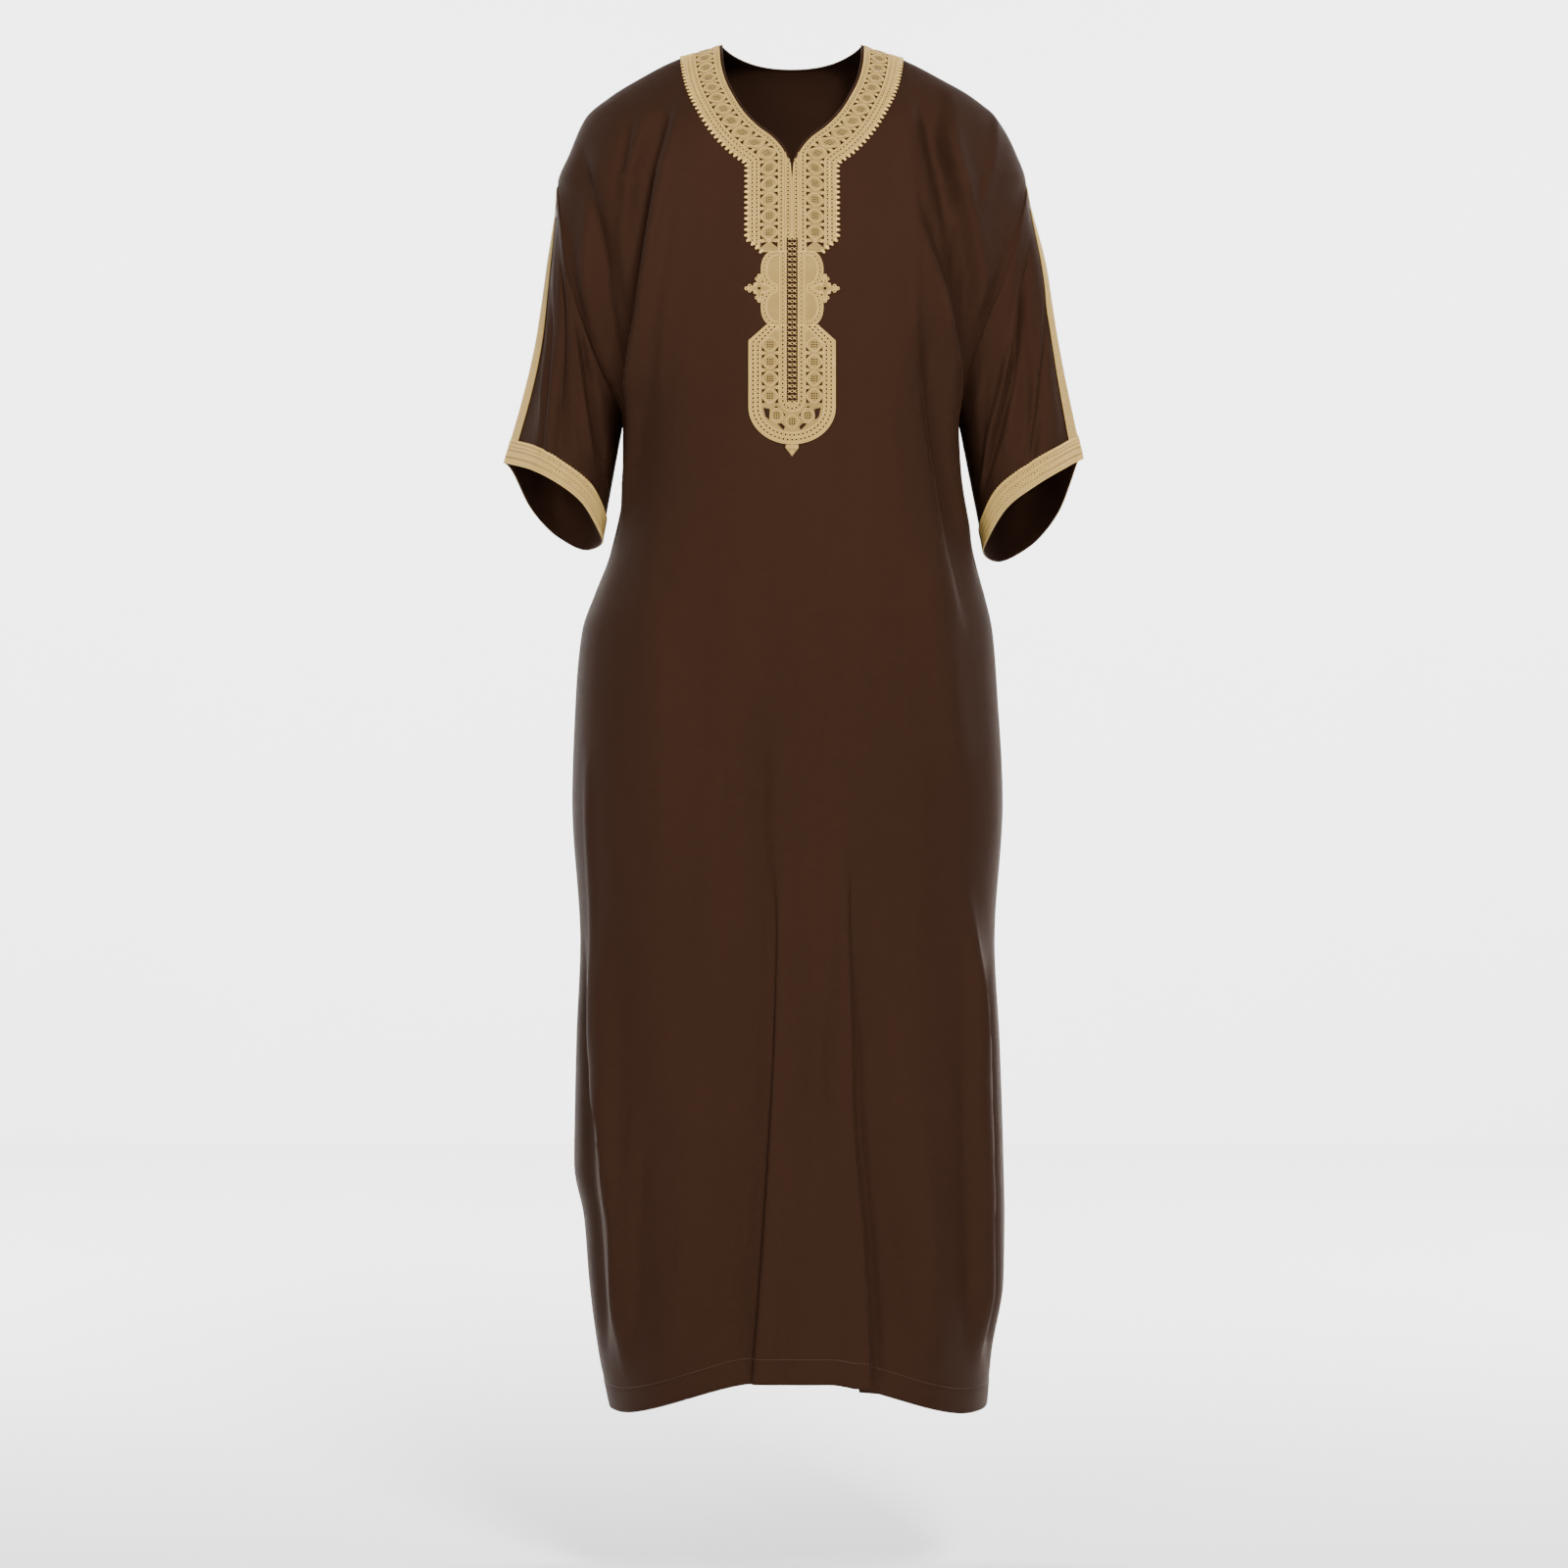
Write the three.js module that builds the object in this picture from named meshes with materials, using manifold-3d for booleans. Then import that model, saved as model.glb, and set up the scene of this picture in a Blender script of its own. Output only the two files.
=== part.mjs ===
// A long pullover gown with wide half-length sleeves, as it hangs from the shoulders when it is worn.
// A front and a back panel meet at the shoulder and side seams, and each sleeve is a tube sewn into an
// armhole that sits low on the upper arm. Braid covers the neck, the chest slit, the cuffs and a line
// down the outside of each sleeve. Below the waist a box fold hangs forward between the legs.
// Millimetres. +X is to the right as seen from the front, -Y is the front and +Z is up. The origin lies on
// the shoulders, midway between the two highest points of the neckline. A drop is a distance below it.
import * as THREE from "three";
import { mergeVertices } from "three/addons/utils/BufferGeometryUtils.js";
import Module from "manifold-3d";

const wasm = await Module();
wasm.setup();

// Driving dimensions
const CLOTH = 1.2; // thickness of the woven cloth
const SEAM = 0.3; // space between two pieces where they are sewn together
const BRAID = 1.2; // thickness of the braid and embroidery
const SHOULDER_TIP = 145; // drop of the top of the armhole
const UNDERARM = 385; // drop of the bottom of the armhole
const HEM_CENTRE = 1345; // drop of the hem at the centre of the front
const HEM_SIDE = 1383; // drop of the hem at the sides and back
const HEM_TURN = 25; // depth of the turned-up hem
const HEM_THICK = 1.9; // thickness of the cloth over the turned-up hem
const SHOULDER_Y = 7; // the shoulder seam lies a little behind the origin
const ARMHOLE_FRONT = 66; // how far the armhole reaches in front of the shoulder seam
const ARMHOLE_BACK = 70; // and behind it
const SLIT_HALF = 0.8; // half the width of the slit below the neckline
const SLIT_END = 210; // drop of the lower end of the slit
const EVEN_OUT = 75; // drop over which the body's width is evened out at the underarm
const NECK_HALF = 72; // half the width of the neck opening at the shoulders
const BACK_NECK = 14; // drop of the back neckline
const VENT_TOP = 1195; // drop of the top of the side vents
const VENT_HALF = 2.5; // half the gap of a vent at the hem
const CUFF_BAND = 24; // width of the braid round each cuff
const STRIPE_HALF = 7.5; // half the width of the braid down each sleeve
const BAND = 37; // width of the braid round the neck, without its small teeth
const TOOTH = 3.4; // how far a tooth stands out from the braid's edge
const TOOTH_PITCH = 9.2; // distance between teeth
const ROLL = 2; // cloth that shows between the neckline and the braid
const BACK_BAND_DROP = 50; // drop of the outer edge of the braid at the centre of the back
const BACK_BAND_RISE = 37; // how far that edge rises to the shoulder seams

// Half widths of the body at its seams: shoulder seam down to the shoulder tip, then armhole, then side.
const EDGE = [
  { drop: 0, left: 72, right: 72 },
  { drop: 5, left: 84, right: 82 },
  { drop: 15, left: 116, right: 112 },
  { drop: 35, left: 155, right: 151 },
  { drop: 55, left: 187, right: 185 },
  { drop: 75, left: 210, right: 208 },
  { drop: 110, left: 226, right: 228 },
  { drop: 145, left: 239, right: 239 },
  { drop: 190, left: 234, right: 231 },
  { drop: 240, left: 226, right: 216 },
  { drop: 290, left: 211, right: 196 },
  { drop: 340, left: 192, right: 179 },
  { drop: 385, left: 172, right: 170 },
  { drop: 450, left: 172, right: 173 },
  { drop: 520, left: 184, right: 184 },
  { drop: 560, left: 199, right: 194 },
  { drop: 600, left: 213, right: 203 },
  { drop: 660, left: 219, right: 208 },
  { drop: 775, left: 223, right: 214 },
  { drop: 915, left: 215, right: 206 },
  { drop: 1015, left: 219, right: 211 },
  { drop: 1140, left: 221, right: 215 },
  { drop: 1195, left: 211, right: 216 },
  { drop: 1260, left: 206, right: 215 },
  { drop: 1330, left: 197, right: 203 },
  { drop: 1385, left: 186, right: 198 },
];

// How far the body stands in front of and behind the origin, where its side seam lies, and how its
// section is rounded: square is the power of the curve and round the power at its edge.
const TORSO = [
  { drop: 0, front: 2, back: 40, seam: 7, square: 2.4, round: 0.42 },
  { drop: 5, front: 12, back: 58, seam: 7, square: 2.4, round: 0.42 },
  { drop: 15, front: 24, back: 74, seam: 7, square: 2.4, round: 0.42 },
  { drop: 35, front: 42, back: 86, seam: 7, square: 2.4, round: 0.42 },
  { drop: 55, front: 60, back: 94, seam: 7, square: 2.4, round: 0.42 },
  { drop: 85, front: 82, back: 104, seam: 7, square: 2.4, round: 0.42 },
  { drop: 125, front: 98, back: 112, seam: 7, square: 2.5, round: 0.44 },
  { drop: 160, front: 110, back: 118, seam: 7, square: 2.5, round: 0.46 },
  { drop: 220, front: 124, back: 123, seam: 7, square: 2.6, round: 0.5 },
  { drop: 300, front: 133, back: 122, seam: 6, square: 2.7, round: 0.48 },
  { drop: 385, front: 138, back: 119, seam: 4, square: 2.7, round: 0.43 },
  { drop: 520, front: 142, back: 121, seam: -10, square: 2.7, round: 0.4 },
  { drop: 650, front: 144, back: 129, seam: -14, square: 2.7, round: 0.4 },
  { drop: 900, front: 147, back: 134, seam: -10, square: 2.7, round: 0.4 },
  { drop: 1385, front: 151, back: 138, seam: -4, square: 2.7, round: 0.4 },
];

// Right half of the front neckline, from the shoulder down to the top of the slit.
const NECKLINE = [
  { x: 72, drop: 0 },
  { x: 70.5, drop: 22 },
  { x: 66, drop: 43 },
  { x: 58, drop: 62 },
  { x: 47, drop: 81 },
  { x: 33.5, drop: 96 },
  { x: 18.5, drop: 108 },
  { x: 9, drop: 119 },
  { x: 3.5, drop: 130 },
  { x: 0.8, drop: 142 },
];

// Cuff edge, by the angle round the sleeve: 0 is the outside of the arm, 90 the front, 180 the inside.
const CUFF = [
  { angle: 0, y: 2, leftX: 286, leftDrop: 430, rightX: 292, rightDrop: 424 },
  { angle: 45, y: -41, leftX: 265, leftDrop: 437, rightX: 279, rightDrop: 434 },
  { angle: 90, y: -58, leftX: 240, leftDrop: 450, rightX: 250, rightDrop: 452 },
  { angle: 135, y: -42, leftX: 211, leftDrop: 473, rightX: 216, rightDrop: 478 },
  { angle: 180, y: 2, leftX: 194, leftDrop: 507, rightX: 196, rightDrop: 517 },
  { angle: 225, y: 48, leftX: 212, leftDrop: 514, rightX: 213, rightDrop: 526 },
  { angle: 270, y: 64, leftX: 243, leftDrop: 499, rightX: 247, rightDrop: 509 },
  { angle: 315, y: 48, leftX: 272, leftDrop: 466, rightX: 277, rightDrop: 471 },
];

// The two edges of the box fold: where each shows, seen from the front.
const BOX_FOLD = [
  { drop: 0, left: -30, right: 48, half: 6, lap: 0, forward: 0 },
  { drop: 640, left: -14, right: 54, half: 6, lap: 0, forward: 0 },
  { drop: 800, left: -12, right: 52, half: 7, lap: 1, forward: 2 },
  { drop: 910, left: -14, right: 56, half: 8, lap: 3, forward: 4 },
  { drop: 1006, left: -17, right: 59, half: 9, lap: 6, forward: 6 },
  { drop: 1086, left: -21, right: 61, half: 10, lap: 8, forward: 8 },
  { drop: 1200, left: -28, right: 71, half: 11, lap: 10, forward: 10 },
  { drop: 1383, left: -42, right: 80, half: 12, lap: 12, forward: 12 },
];

// Folds of the front and back. x is the distance from the centre line along the cloth, negative on the
// left as seen from the front, at the fold's top and bottom. A negative height is a trough.
const FRONT_FOLDS = [
  { top: 60, bottom: 520, topX: -112, bottomX: -206, width: 13, height: 9 },
  { top: 70, bottom: 520, topX: -136, bottomX: -238, width: 15, height: -13 },
  { top: 110, bottom: 400, topX: -205, bottomX: -236, width: 12, height: 8 },
  { top: 70, bottom: 420, topX: 158, bottomX: 202, width: 12, height: 9 },
  { top: 120, bottom: 560, topX: 128, bottomX: 214, width: 14, height: 9 },
  { top: 130, bottom: 560, topX: 152, bottomX: 246, width: 13, height: -12 },
  { top: 500, bottom: 760, topX: 140, bottomX: 172, width: 20, height: 5 },
  { top: 620, bottom: 1360, topX: -46, bottomX: -66, width: 20, height: -5 },
  { top: 800, bottom: 1360, topX: 76, bottomX: 108, width: 20, height: -5 },
  { top: 860, bottom: 1340, topX: 196, bottomX: 206, width: 13, height: 8 },
  { top: 900, bottom: 1350, topX: 226, bottomX: 236, width: 14, height: -8 },
  { top: 860, bottom: 1350, topX: -206, bottomX: -184, width: 15, height: 7 },
  { top: 880, bottom: 1350, topX: -236, bottomX: -214, width: 15, height: -7 },
];
const BACK_FOLDS = [
  { top: 120, bottom: 620, topX: -150, bottomX: -196, width: 15, height: 8 },
  { top: 130, bottom: 640, topX: 152, bottomX: 200, width: 15, height: 8 },
  { top: 150, bottom: 620, topX: -182, bottomX: -226, width: 14, height: -10 },
  { top: 150, bottom: 620, topX: 184, bottomX: 230, width: 14, height: -10 },
  { top: 330, bottom: 1370, topX: -62, bottomX: -82, width: 24, height: 8 },
  { top: 380, bottom: 1370, topX: 70, bottomX: 96, width: 24, height: 8 },
  { top: 420, bottom: 1370, topX: 4, bottomX: 8, width: 30, height: -7 },
  { top: 700, bottom: 1370, topX: -160, bottomX: -168, width: 22, height: 7 },
  { top: 720, bottom: 1370, topX: 166, bottomX: 176, width: 22, height: 7 },
];
// Folds of the sleeves, by angle round the sleeve and by share of the way from armhole to cuff.
const SLEEVE_FOLDS = [
  { topAngle: 62, bottomAngle: 100, from: 0.04, to: 0.95, width: 15, height: -6 },
  { topAngle: 30, bottomAngle: 60, from: 0.04, to: 0.98, width: 15, height: 4 },
  { topAngle: 120, bottomAngle: 135, from: 0.02, to: 0.9, width: 18, height: 4 },
  { topAngle: 292, bottomAngle: 262, from: 0.04, to: 0.95, width: 16, height: -6 },
  { topAngle: 330, bottomAngle: 305, from: 0.04, to: 0.98, width: 16, height: 4 },
];
// Angle of the middle of the braid down each sleeve, by share of the way from the armhole to the cuff.
const STRIPE = [
  { share: 0, left: 0, right: 0 },
  { share: 0.3, left: 0, right: 22 },
  { share: 0.6, left: 14, right: 30 },
  { share: 1, left: 10, right: 30 },
];
const CREASE = { height: 8, width: 13 }; // the sharp fold behind that braid; its width is in degrees
const SLEEVE_DEGREE = 0.97; // degrees round a sleeve for each millimetre of its cloth

// Half outline of the chest embroidery below the neck, from its widest straight part to the tip.
const PLACKET_HALF = 44; // half width of the straight part
const PLACKET_TOP = 130; // drop where the neck braid turns down beside the slit
const PLACKET_END = 213; // drop where the straight part ends
const PLACKET_FOOT = 30; // half width of its lower end
const SCALLOPS = { top: 228, end: 302, centres: [246.5, 283.5], radius: 18.3, notch: 20.5, out: 10.5 };
const STAR = { x: 32.5, drop: 265, body: 5.5, arm: 12.5, armWidth: 0.25, root: 14, rootWidth: 0.45 };
const CARTOUCHE = { top: 302, neck: 26, shoulder: 317, half: 43, round: 383, bottom: 420 };
const CARTOUCHE_TIP = { half: 6, length: 12 };
const LATTICE = { half: 5, top: 228.3, bottom: 378 };

const FRONT = { sign: -1, depth: "front", folds: FRONT_FOLDS, armhole: ARMHOLE_FRONT };
const BACK = { sign: 1, depth: "back", folds: BACK_FOLDS, armhole: ARMHOLE_BACK };
// bow is how far a sleeve's outer line bends outwards.
const LEFT = { sign: -1, edge: "left", cuffX: "leftX", cuffDrop: "leftDrop", bow: -12 };
const RIGHT = { sign: 1, edge: "right", cuffX: "rightX", cuffDrop: "rightDrop", bow: -4 };

const lerp = THREE.MathUtils.lerp;
const clamp = THREE.MathUtils.clamp;
const smooth = (t) => THREE.MathUtils.smoothstep(t, 0, 1);

// A smooth curve through a table's rows that doesn't overshoot them.
function curve(rows, key, value) {
  const k = rows.map((row) => row[key]);
  const v = rows.map((row) => row[value]);
  const slope = k.slice(1).map((next, i) => (v[i + 1] - v[i]) / (next - k[i]));
  const tangent = k.map((_, i) => {
    if (i === 0) return slope[0];
    if (i === k.length - 1) return slope[i - 1];
    const [a, b] = [slope[i - 1], slope[i]];
    return a * b <= 0 ? 0 : (2 * a * b) / (a + b);
  });
  return (at) => {
    const x = clamp(at, k[0], k[k.length - 1]);
    const i = Math.min(Math.max(k.findIndex((next) => next >= x) - 1, 0), k.length - 2);
    const span = k[i + 1] - k[i];
    const t = (x - k[i]) / span;
    const a = v[i] * (2 * t ** 3 - 3 * t ** 2 + 1) + v[i + 1] * (3 * t ** 2 - 2 * t ** 3);
    return a + span * (tangent[i] * (t ** 3 - 2 * t ** 2 + t) + tangent[i + 1] * (t ** 3 - t ** 2));
  };
}

const edgeAt = { left: curve(EDGE, "drop", "left"), right: curve(EDGE, "drop", "right") };
const torso = Object.fromEntries(
  ["front", "back", "seam", "square", "round"].map((name) => [name, curve(TORSO, "drop", name)]),
);
const boxFold = Object.fromEntries(
  ["left", "right", "half", "lap", "forward"].map((name) => [name, curve(BOX_FOLD, "drop", name)]),
);

// Angle round the armhole of a drop: 0 at the shoulder tip, pi at the underarm.
function armholeAngle(drop) {
  const share = clamp((drop - SHOULDER_TIP) / (UNDERARM - SHOULDER_TIP), 0, 1);
  return Math.acos(1 - 2 * share);
}

// How far the armhole has opened in front of or behind the side seam.
const armholeReach = (panel, drop) => panel.armhole * Math.sin(armholeAngle(drop));

// Y of a panel's edge, on the shoulder seam, the armhole or the side seam.
const seamY = (panel, drop) => torso.seam(drop) + panel.sign * armholeReach(panel, drop);

// Half width of the body. Away from its edges the armhole's sharp end at the underarm is evened out.
function halfWidth(side, drop, share) {
  const edge = edgeAt[side.edge];
  const even = (edge(drop - EVEN_OUT) + 2 * edge(drop) + edge(drop + EVEN_OUT)) / 4;
  const inside = 1 - smooth((share - 0.3) / 0.7);
  return lerp(edge(drop), even, inside * smooth((drop - SHOULDER_TIP) / 100));
}

// A point of the plain section of a panel, at a share of the half width.
function sectionPoint(panel, side, drop, share) {
  const depth = torso[panel.depth](drop) - panel.sign * torso.seam(drop);
  const profile = Math.max(0, 1 - share ** torso.square(drop)) ** torso.round(drop);
  const opened = armholeReach(panel, drop) * smooth((share - 0.45) / 0.5);
  const reach = Math.hypot((depth * profile) ** 2, opened ** 2) ** 0.5;
  return [side.sign * share * halfWidth(side, drop, share), torso.seam(drop) + panel.sign * reach];
}

// Distances along a panel's half section from the centre line, at closely spaced shares of its width.
const SAMPLES = 60;
const sampled = new Map();
function girthTable(panel, side, drop) {
  const key = `${panel.depth} ${side.edge} ${drop.toFixed(2)}`;
  if (!sampled.has(key)) {
    const shares = Array.from({ length: SAMPLES + 1 }, (_, i) => 1 - (1 - i / SAMPLES) ** 2.5);
    const points = shares.map((share) => sectionPoint(panel, side, drop, share));
    const lengths = [0];
    points.slice(1).forEach(([x, y], i) => {
      lengths.push(lengths[i] + Math.hypot(x - points[i][0], y - points[i][1]));
    });
    sampled.set(key, { shares, lengths });
  }
  return sampled.get(key);
}

function between(from, to, at) {
  const i = clamp(from.findIndex((next) => next >= at) - 1, 0, from.length - 2);
  const found = at > from[from.length - 1] ? from.length - 2 : i;
  return lerp(to[found], to[found + 1], (at - from[found]) / (from[found + 1] - from[found]));
}

const girth = (panel, side, drop) => girthTable(panel, side, drop).lengths[SAMPLES];

function distanceAtShare(panel, side, drop, share) {
  const { shares, lengths } = girthTable(panel, side, drop);
  return between(shares, lengths, share);
}

function plainPoint(panel, drop, x) {
  const side = x < 0 ? LEFT : RIGHT;
  const { shares, lengths } = girthTable(panel, side, drop);
  const share = between(lengths, shares, Math.min(Math.abs(x), lengths[SAMPLES]));
  return sectionPoint(panel, side, drop, share);
}

// Height of the folds at a place on a panel. They fade out towards its seams.
function foldHeight(panel, drop, x) {
  const side = x < 0 ? LEFT : RIGHT;
  const fade = smooth((girth(panel, side, drop) - Math.abs(x)) / 22);
  return panel.folds.reduce((sum, fold) => {
    const along = (drop - fold.top) / (fold.bottom - fold.top);
    if (along <= 0 || along >= 1) return sum;
    const across = (x - lerp(fold.topX, fold.bottomX, along)) / fold.width;
    const ends = smooth(along * 4) * smooth((1 - along) * 6);
    return sum + fade * ends * fold.height * Math.exp(-across * across);
  }, 0);
}

// The box fold moves the front's cloth sideways and forward, so that its edges lap over the sides.
function boxShift(drop, x) {
  const half = boxFold.half(drop);
  const turn = (boxFold.lap(drop) + half) / 2;
  const lapped = boxFold.lap(drop) > 0 ? turn : (turn * boxFold.forward(drop)) / 10;
  const edges = [
    { at: boxFold.left(drop) + lapped - half / 2, rises: 1 },
    { at: boxFold.right(drop) - lapped + half / 2, rises: -1 },
  ];
  const sideways = edges.reduce((sum, edge) => {
    const t = (x - edge.at) / half;
    return Math.abs(t) < 1 ? sum - lapped * Math.sin(Math.PI * t) : sum;
  }, 0);
  const rise = (edge) => smooth(((x - edge.at) / half + 1) / 2);
  return { sideways, forward: boxFold.forward(drop) * (rise(edges[0]) - rise(edges[1])) };
}

// A point on the outside of a panel, x along the cloth from the centre line.
function panelPoint(panel, drop, x) {
  const [px, py] = plainPoint(panel, drop, x);
  const step = 1.5;
  const [ax, ay] = plainPoint(panel, drop, x - step);
  const [bx, by] = plainPoint(panel, drop, x + step);
  const long = Math.hypot(bx - ax, by - ay) || 1;
  const height = foldHeight(panel, drop, x);
  const outX = ((by - ay) / long) * -panel.sign;
  const outY = ((bx - ax) / long) * panel.sign;
  const shift = panel === FRONT ? boxShift(drop, x) : { sideways: 0, forward: 0 };
  return new THREE.Vector3(
    px + outX * height + shift.sideways,
    py + outY * height - shift.forward,
    -drop,
  );
}

// Drop of the back neckline at a share of the way from its centre to the shoulder.
const backNeckline = (share) => BACK_NECK * (1 - share ** 2.2);

// Points along the top of a half panel: down the neckline's curve and along the shoulder seam.
const TOP_STEPS = 24; // steps of the neckline's curve, and of the shoulder seam
function topLine(panel) {
  const neck = [];
  const shoulder = [];
  const drops = curve([...NECKLINE].reverse(), "x", "drop");
  for (let i = 0; i <= TOP_STEPS; i += 1) {
    const turn = Math.sin((i / TOP_STEPS) * (Math.PI / 2));
    const frontX = lerp(SLIT_HALF, NECK_HALF, turn);
    neck.push(panel === FRONT ? [frontX, drops(frontX)] : [NECK_HALF * turn, backNeckline(turn)]);
  }
  for (let i = 1; i <= TOP_STEPS; i += 1) shoulder.push(SHOULDER_TIP * (i / TOP_STEPS) ** 1.5);
  return (side) => [...neck, ...shoulder.map((drop) => [edgeAt[side.edge](drop), drop])];
}

function lineLengths(line) {
  const lengths = [0];
  line.slice(1).forEach(([x, drop], i) => {
    lengths.push(lengths[i] + Math.hypot(x - line[i][0], drop - line[i][1]));
  });
  return lengths;
}

// Drop of the hem at a distance along the cloth from the centre line.
function hemDrop(panel, x) {
  const side = Math.abs(x) / 190;
  if (panel === BACK) return HEM_SIDE;
  return lerp(HEM_CENTRE, HEM_SIDE, smooth(clamp((side - 0.2) / 0.85, 0, 1)) ** 0.8);
}

// Places of a panel's columns along the cloth at a drop. The front's follow the slit and the box fold.
function columnPlaces(panel, drop) {
  const left = -girth(panel, LEFT, drop);
  const right = girth(panel, RIGHT, drop);
  const places = [];
  const run = (from, to, count) => {
    for (let i = 0; i < count; i += 1) places.push(lerp(from, to, i / count));
  };
  if (panel === BACK) {
    run(left, right, 34);
    return [...places, right];
  }
  const half = boxFold.half(drop);
  const lapped = (boxFold.lap(drop) + half) / 2;
  const foldLeft = boxFold.lap(drop) > 0 ? boxFold.left(drop) + lapped - half / 2 : boxFold.left(drop);
  const foldRight = boxFold.lap(drop) > 0 ? boxFold.right(drop) - lapped + half / 2 : boxFold.right(drop);
  run(left, foldLeft - half, 18);
  run(foldLeft - half, foldLeft + half, 5);
  run(foldLeft + half, -SLIT_HALF, 1);
  run(-SLIT_HALF, SLIT_HALF, 1);
  run(SLIT_HALF, foldRight - half, 3);
  run(foldRight - half, foldRight + half, 5);
  run(foldRight + half, right, 17);
  return [...places, right];
}

const ARMHOLE_ROWS = 12; // rows of each panel from its top to the underarm
const SKIRT_ROWS = 13; // and from there to the top of the turned-up hem
const COLUMN_SETTLE = 170; // the columns leave the top line and spread evenly over this drop

// Where the columns of a panel start, as x and drop. On each side one starts at the corner of the neck.
function columnTops(panel) {
  const lineFor = topLine(panel);
  const places = columnPlaces(panel, UNDERARM);
  const start = panel === FRONT ? SLIT_HALF : 0;
  const tops = places.map((place) => {
    const side = place < 0 ? LEFT : RIGHT;
    const line = lineFor(side);
    const lengths = lineLengths(line);
    const share = (Math.abs(place) - start) / (girth(panel, side, UNDERARM) - start);
    const along = clamp(share, 0, 1) * lengths[lengths.length - 1];
    return { side, line, lengths, along, corner: lengths[TOP_STEPS] };
  });
  [LEFT, RIGHT].forEach((side) => {
    const off = (top) => Math.abs(top.along - top.corner);
    const own = tops.filter((top) => top.side === side);
    const nearest = own.reduce((best, top) => (off(top) < off(best) ? top : best));
    nearest.along = nearest.corner;
  });
  return tops.map(({ side, line, lengths, along, corner }, k) => {
    const end = k === 0 || k === places.length - 1;
    const x = end ? edgeAt[side.edge](SHOULDER_TIP) : between(lengths, line.map((p) => p[0]), along);
    const drop = end ? SHOULDER_TIP : between(lengths, line.map((p) => p[1]), along);
    return { side, x: side.sign * x, drop, onSeam: along >= corner };
  });
}

// The rows and columns of a panel: a point on its outside for each.
function panelGrid(panel) {
  const tops = columnTops(panel);
  const rows = [];
  for (let j = 0; j <= ARMHOLE_ROWS + SKIRT_ROWS + 1; j += 1) {
    rows.push(
      tops.map((top, k) => {
        const edge = k === 0 || k === tops.length - 1;
        const atHem = columnPlaces(panel, HEM_SIDE)[k];
        const hem = hemDrop(panel, atHem);
        let drop;
        if (j <= ARMHOLE_ROWS) {
          drop = lerp(top.drop, UNDERARM, (1 - Math.cos((Math.PI * j) / ARMHOLE_ROWS)) / 2);
        } else if (j <= ARMHOLE_ROWS + SKIRT_ROWS) {
          drop = lerp(UNDERARM, hem - HEM_TURN, (j - ARMHOLE_ROWS) / SKIRT_ROWS);
        } else {
          drop = hem;
        }
        const place = columnPlaces(panel, drop)[k];
        const side = top.side;
        const widest = edgeAt[side.edge](Math.min(drop, SHOULDER_TIP));
        const topShare = Math.min(1, Math.abs(top.x) / widest);
        const settle = smooth((drop - top.drop) / COLUMN_SETTLE);
        const topPlace = side.sign * distanceAtShare(panel, side, drop, topShare);
        const x = edge ? side.sign * girth(panel, side, drop) : lerp(topPlace, place, settle);
        const slit = panel === FRONT && Math.abs(place) <= SLIT_HALF + 0.01;
        return {
          point: panelPoint(panel, drop, slit ? place : x),
          row: j,
          edge: edge ? side : null,
          seamTop: j === 0 && top.onSeam,
          drop,
        };
      }),
    );
  }
  return rows;
}

// Direction out of the cloth at each point of a grid, from the points round it.
function addNormals(grid, outwards, ring = false) {
  const last = grid.length - 1;
  grid.forEach((row, j) =>
    row.forEach((cell, k) => {
      const n = row.length;
      const before = ring ? row[(k + n - 1) % n] : row[Math.max(k - 1, 0)];
      const after = ring ? row[(k + 1) % n] : row[Math.min(k + 1, n - 1)];
      const up = grid[Math.max(j - 1, 0)][k].point;
      const down = grid[Math.min(j + 1, last)][k].point;
      const across = new THREE.Vector3().subVectors(after.point, before.point);
      const along = new THREE.Vector3().subVectors(down, up);
      cell.normal = across.cross(along).normalize().multiplyScalar(outwards);
    }),
  );
}

// Slope of the shoulder seam, as the direction out of the cloth on it.
function shoulderNormal(side, drop) {
  const at = clamp(drop, 1, SHOULDER_TIP - 1);
  const run = edgeAt[side.edge](at + 1) - edgeAt[side.edge](at - 1);
  return new THREE.Vector3(2 * side.sign, 0, run).normalize();
}

// The armhole: its point, the direction out of the cloth and the direction from body to sleeve.
function armhole(side, angle) {
  const at = (turn) => {
    const drop = lerp(SHOULDER_TIP, UNDERARM, (1 - Math.cos(turn)) / 2);
    const y = seamY(Math.sin(turn) >= 0 ? FRONT : BACK, drop);
    return new THREE.Vector3(side.sign * edgeAt[side.edge](drop), y, -drop);
  };
  const upper = shoulderNormal(side, SHOULDER_TIP);
  const axis = Math.cos(angle) > 0 ? upper : new THREE.Vector3(0, 0, 1);
  const out = axis.clone().multiplyScalar(Math.cos(angle));
  out.y = -Math.sin(angle);
  out.normalize();
  const step = 0.03;
  const tangent = at(angle + step).sub(at(angle - step)).normalize();
  const toSleeve = new THREE.Vector3().crossVectors(tangent, out).normalize();
  toSleeve.multiplyScalar(-side.sign);
  return { point: at(angle), out, toSleeve };
}

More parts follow.
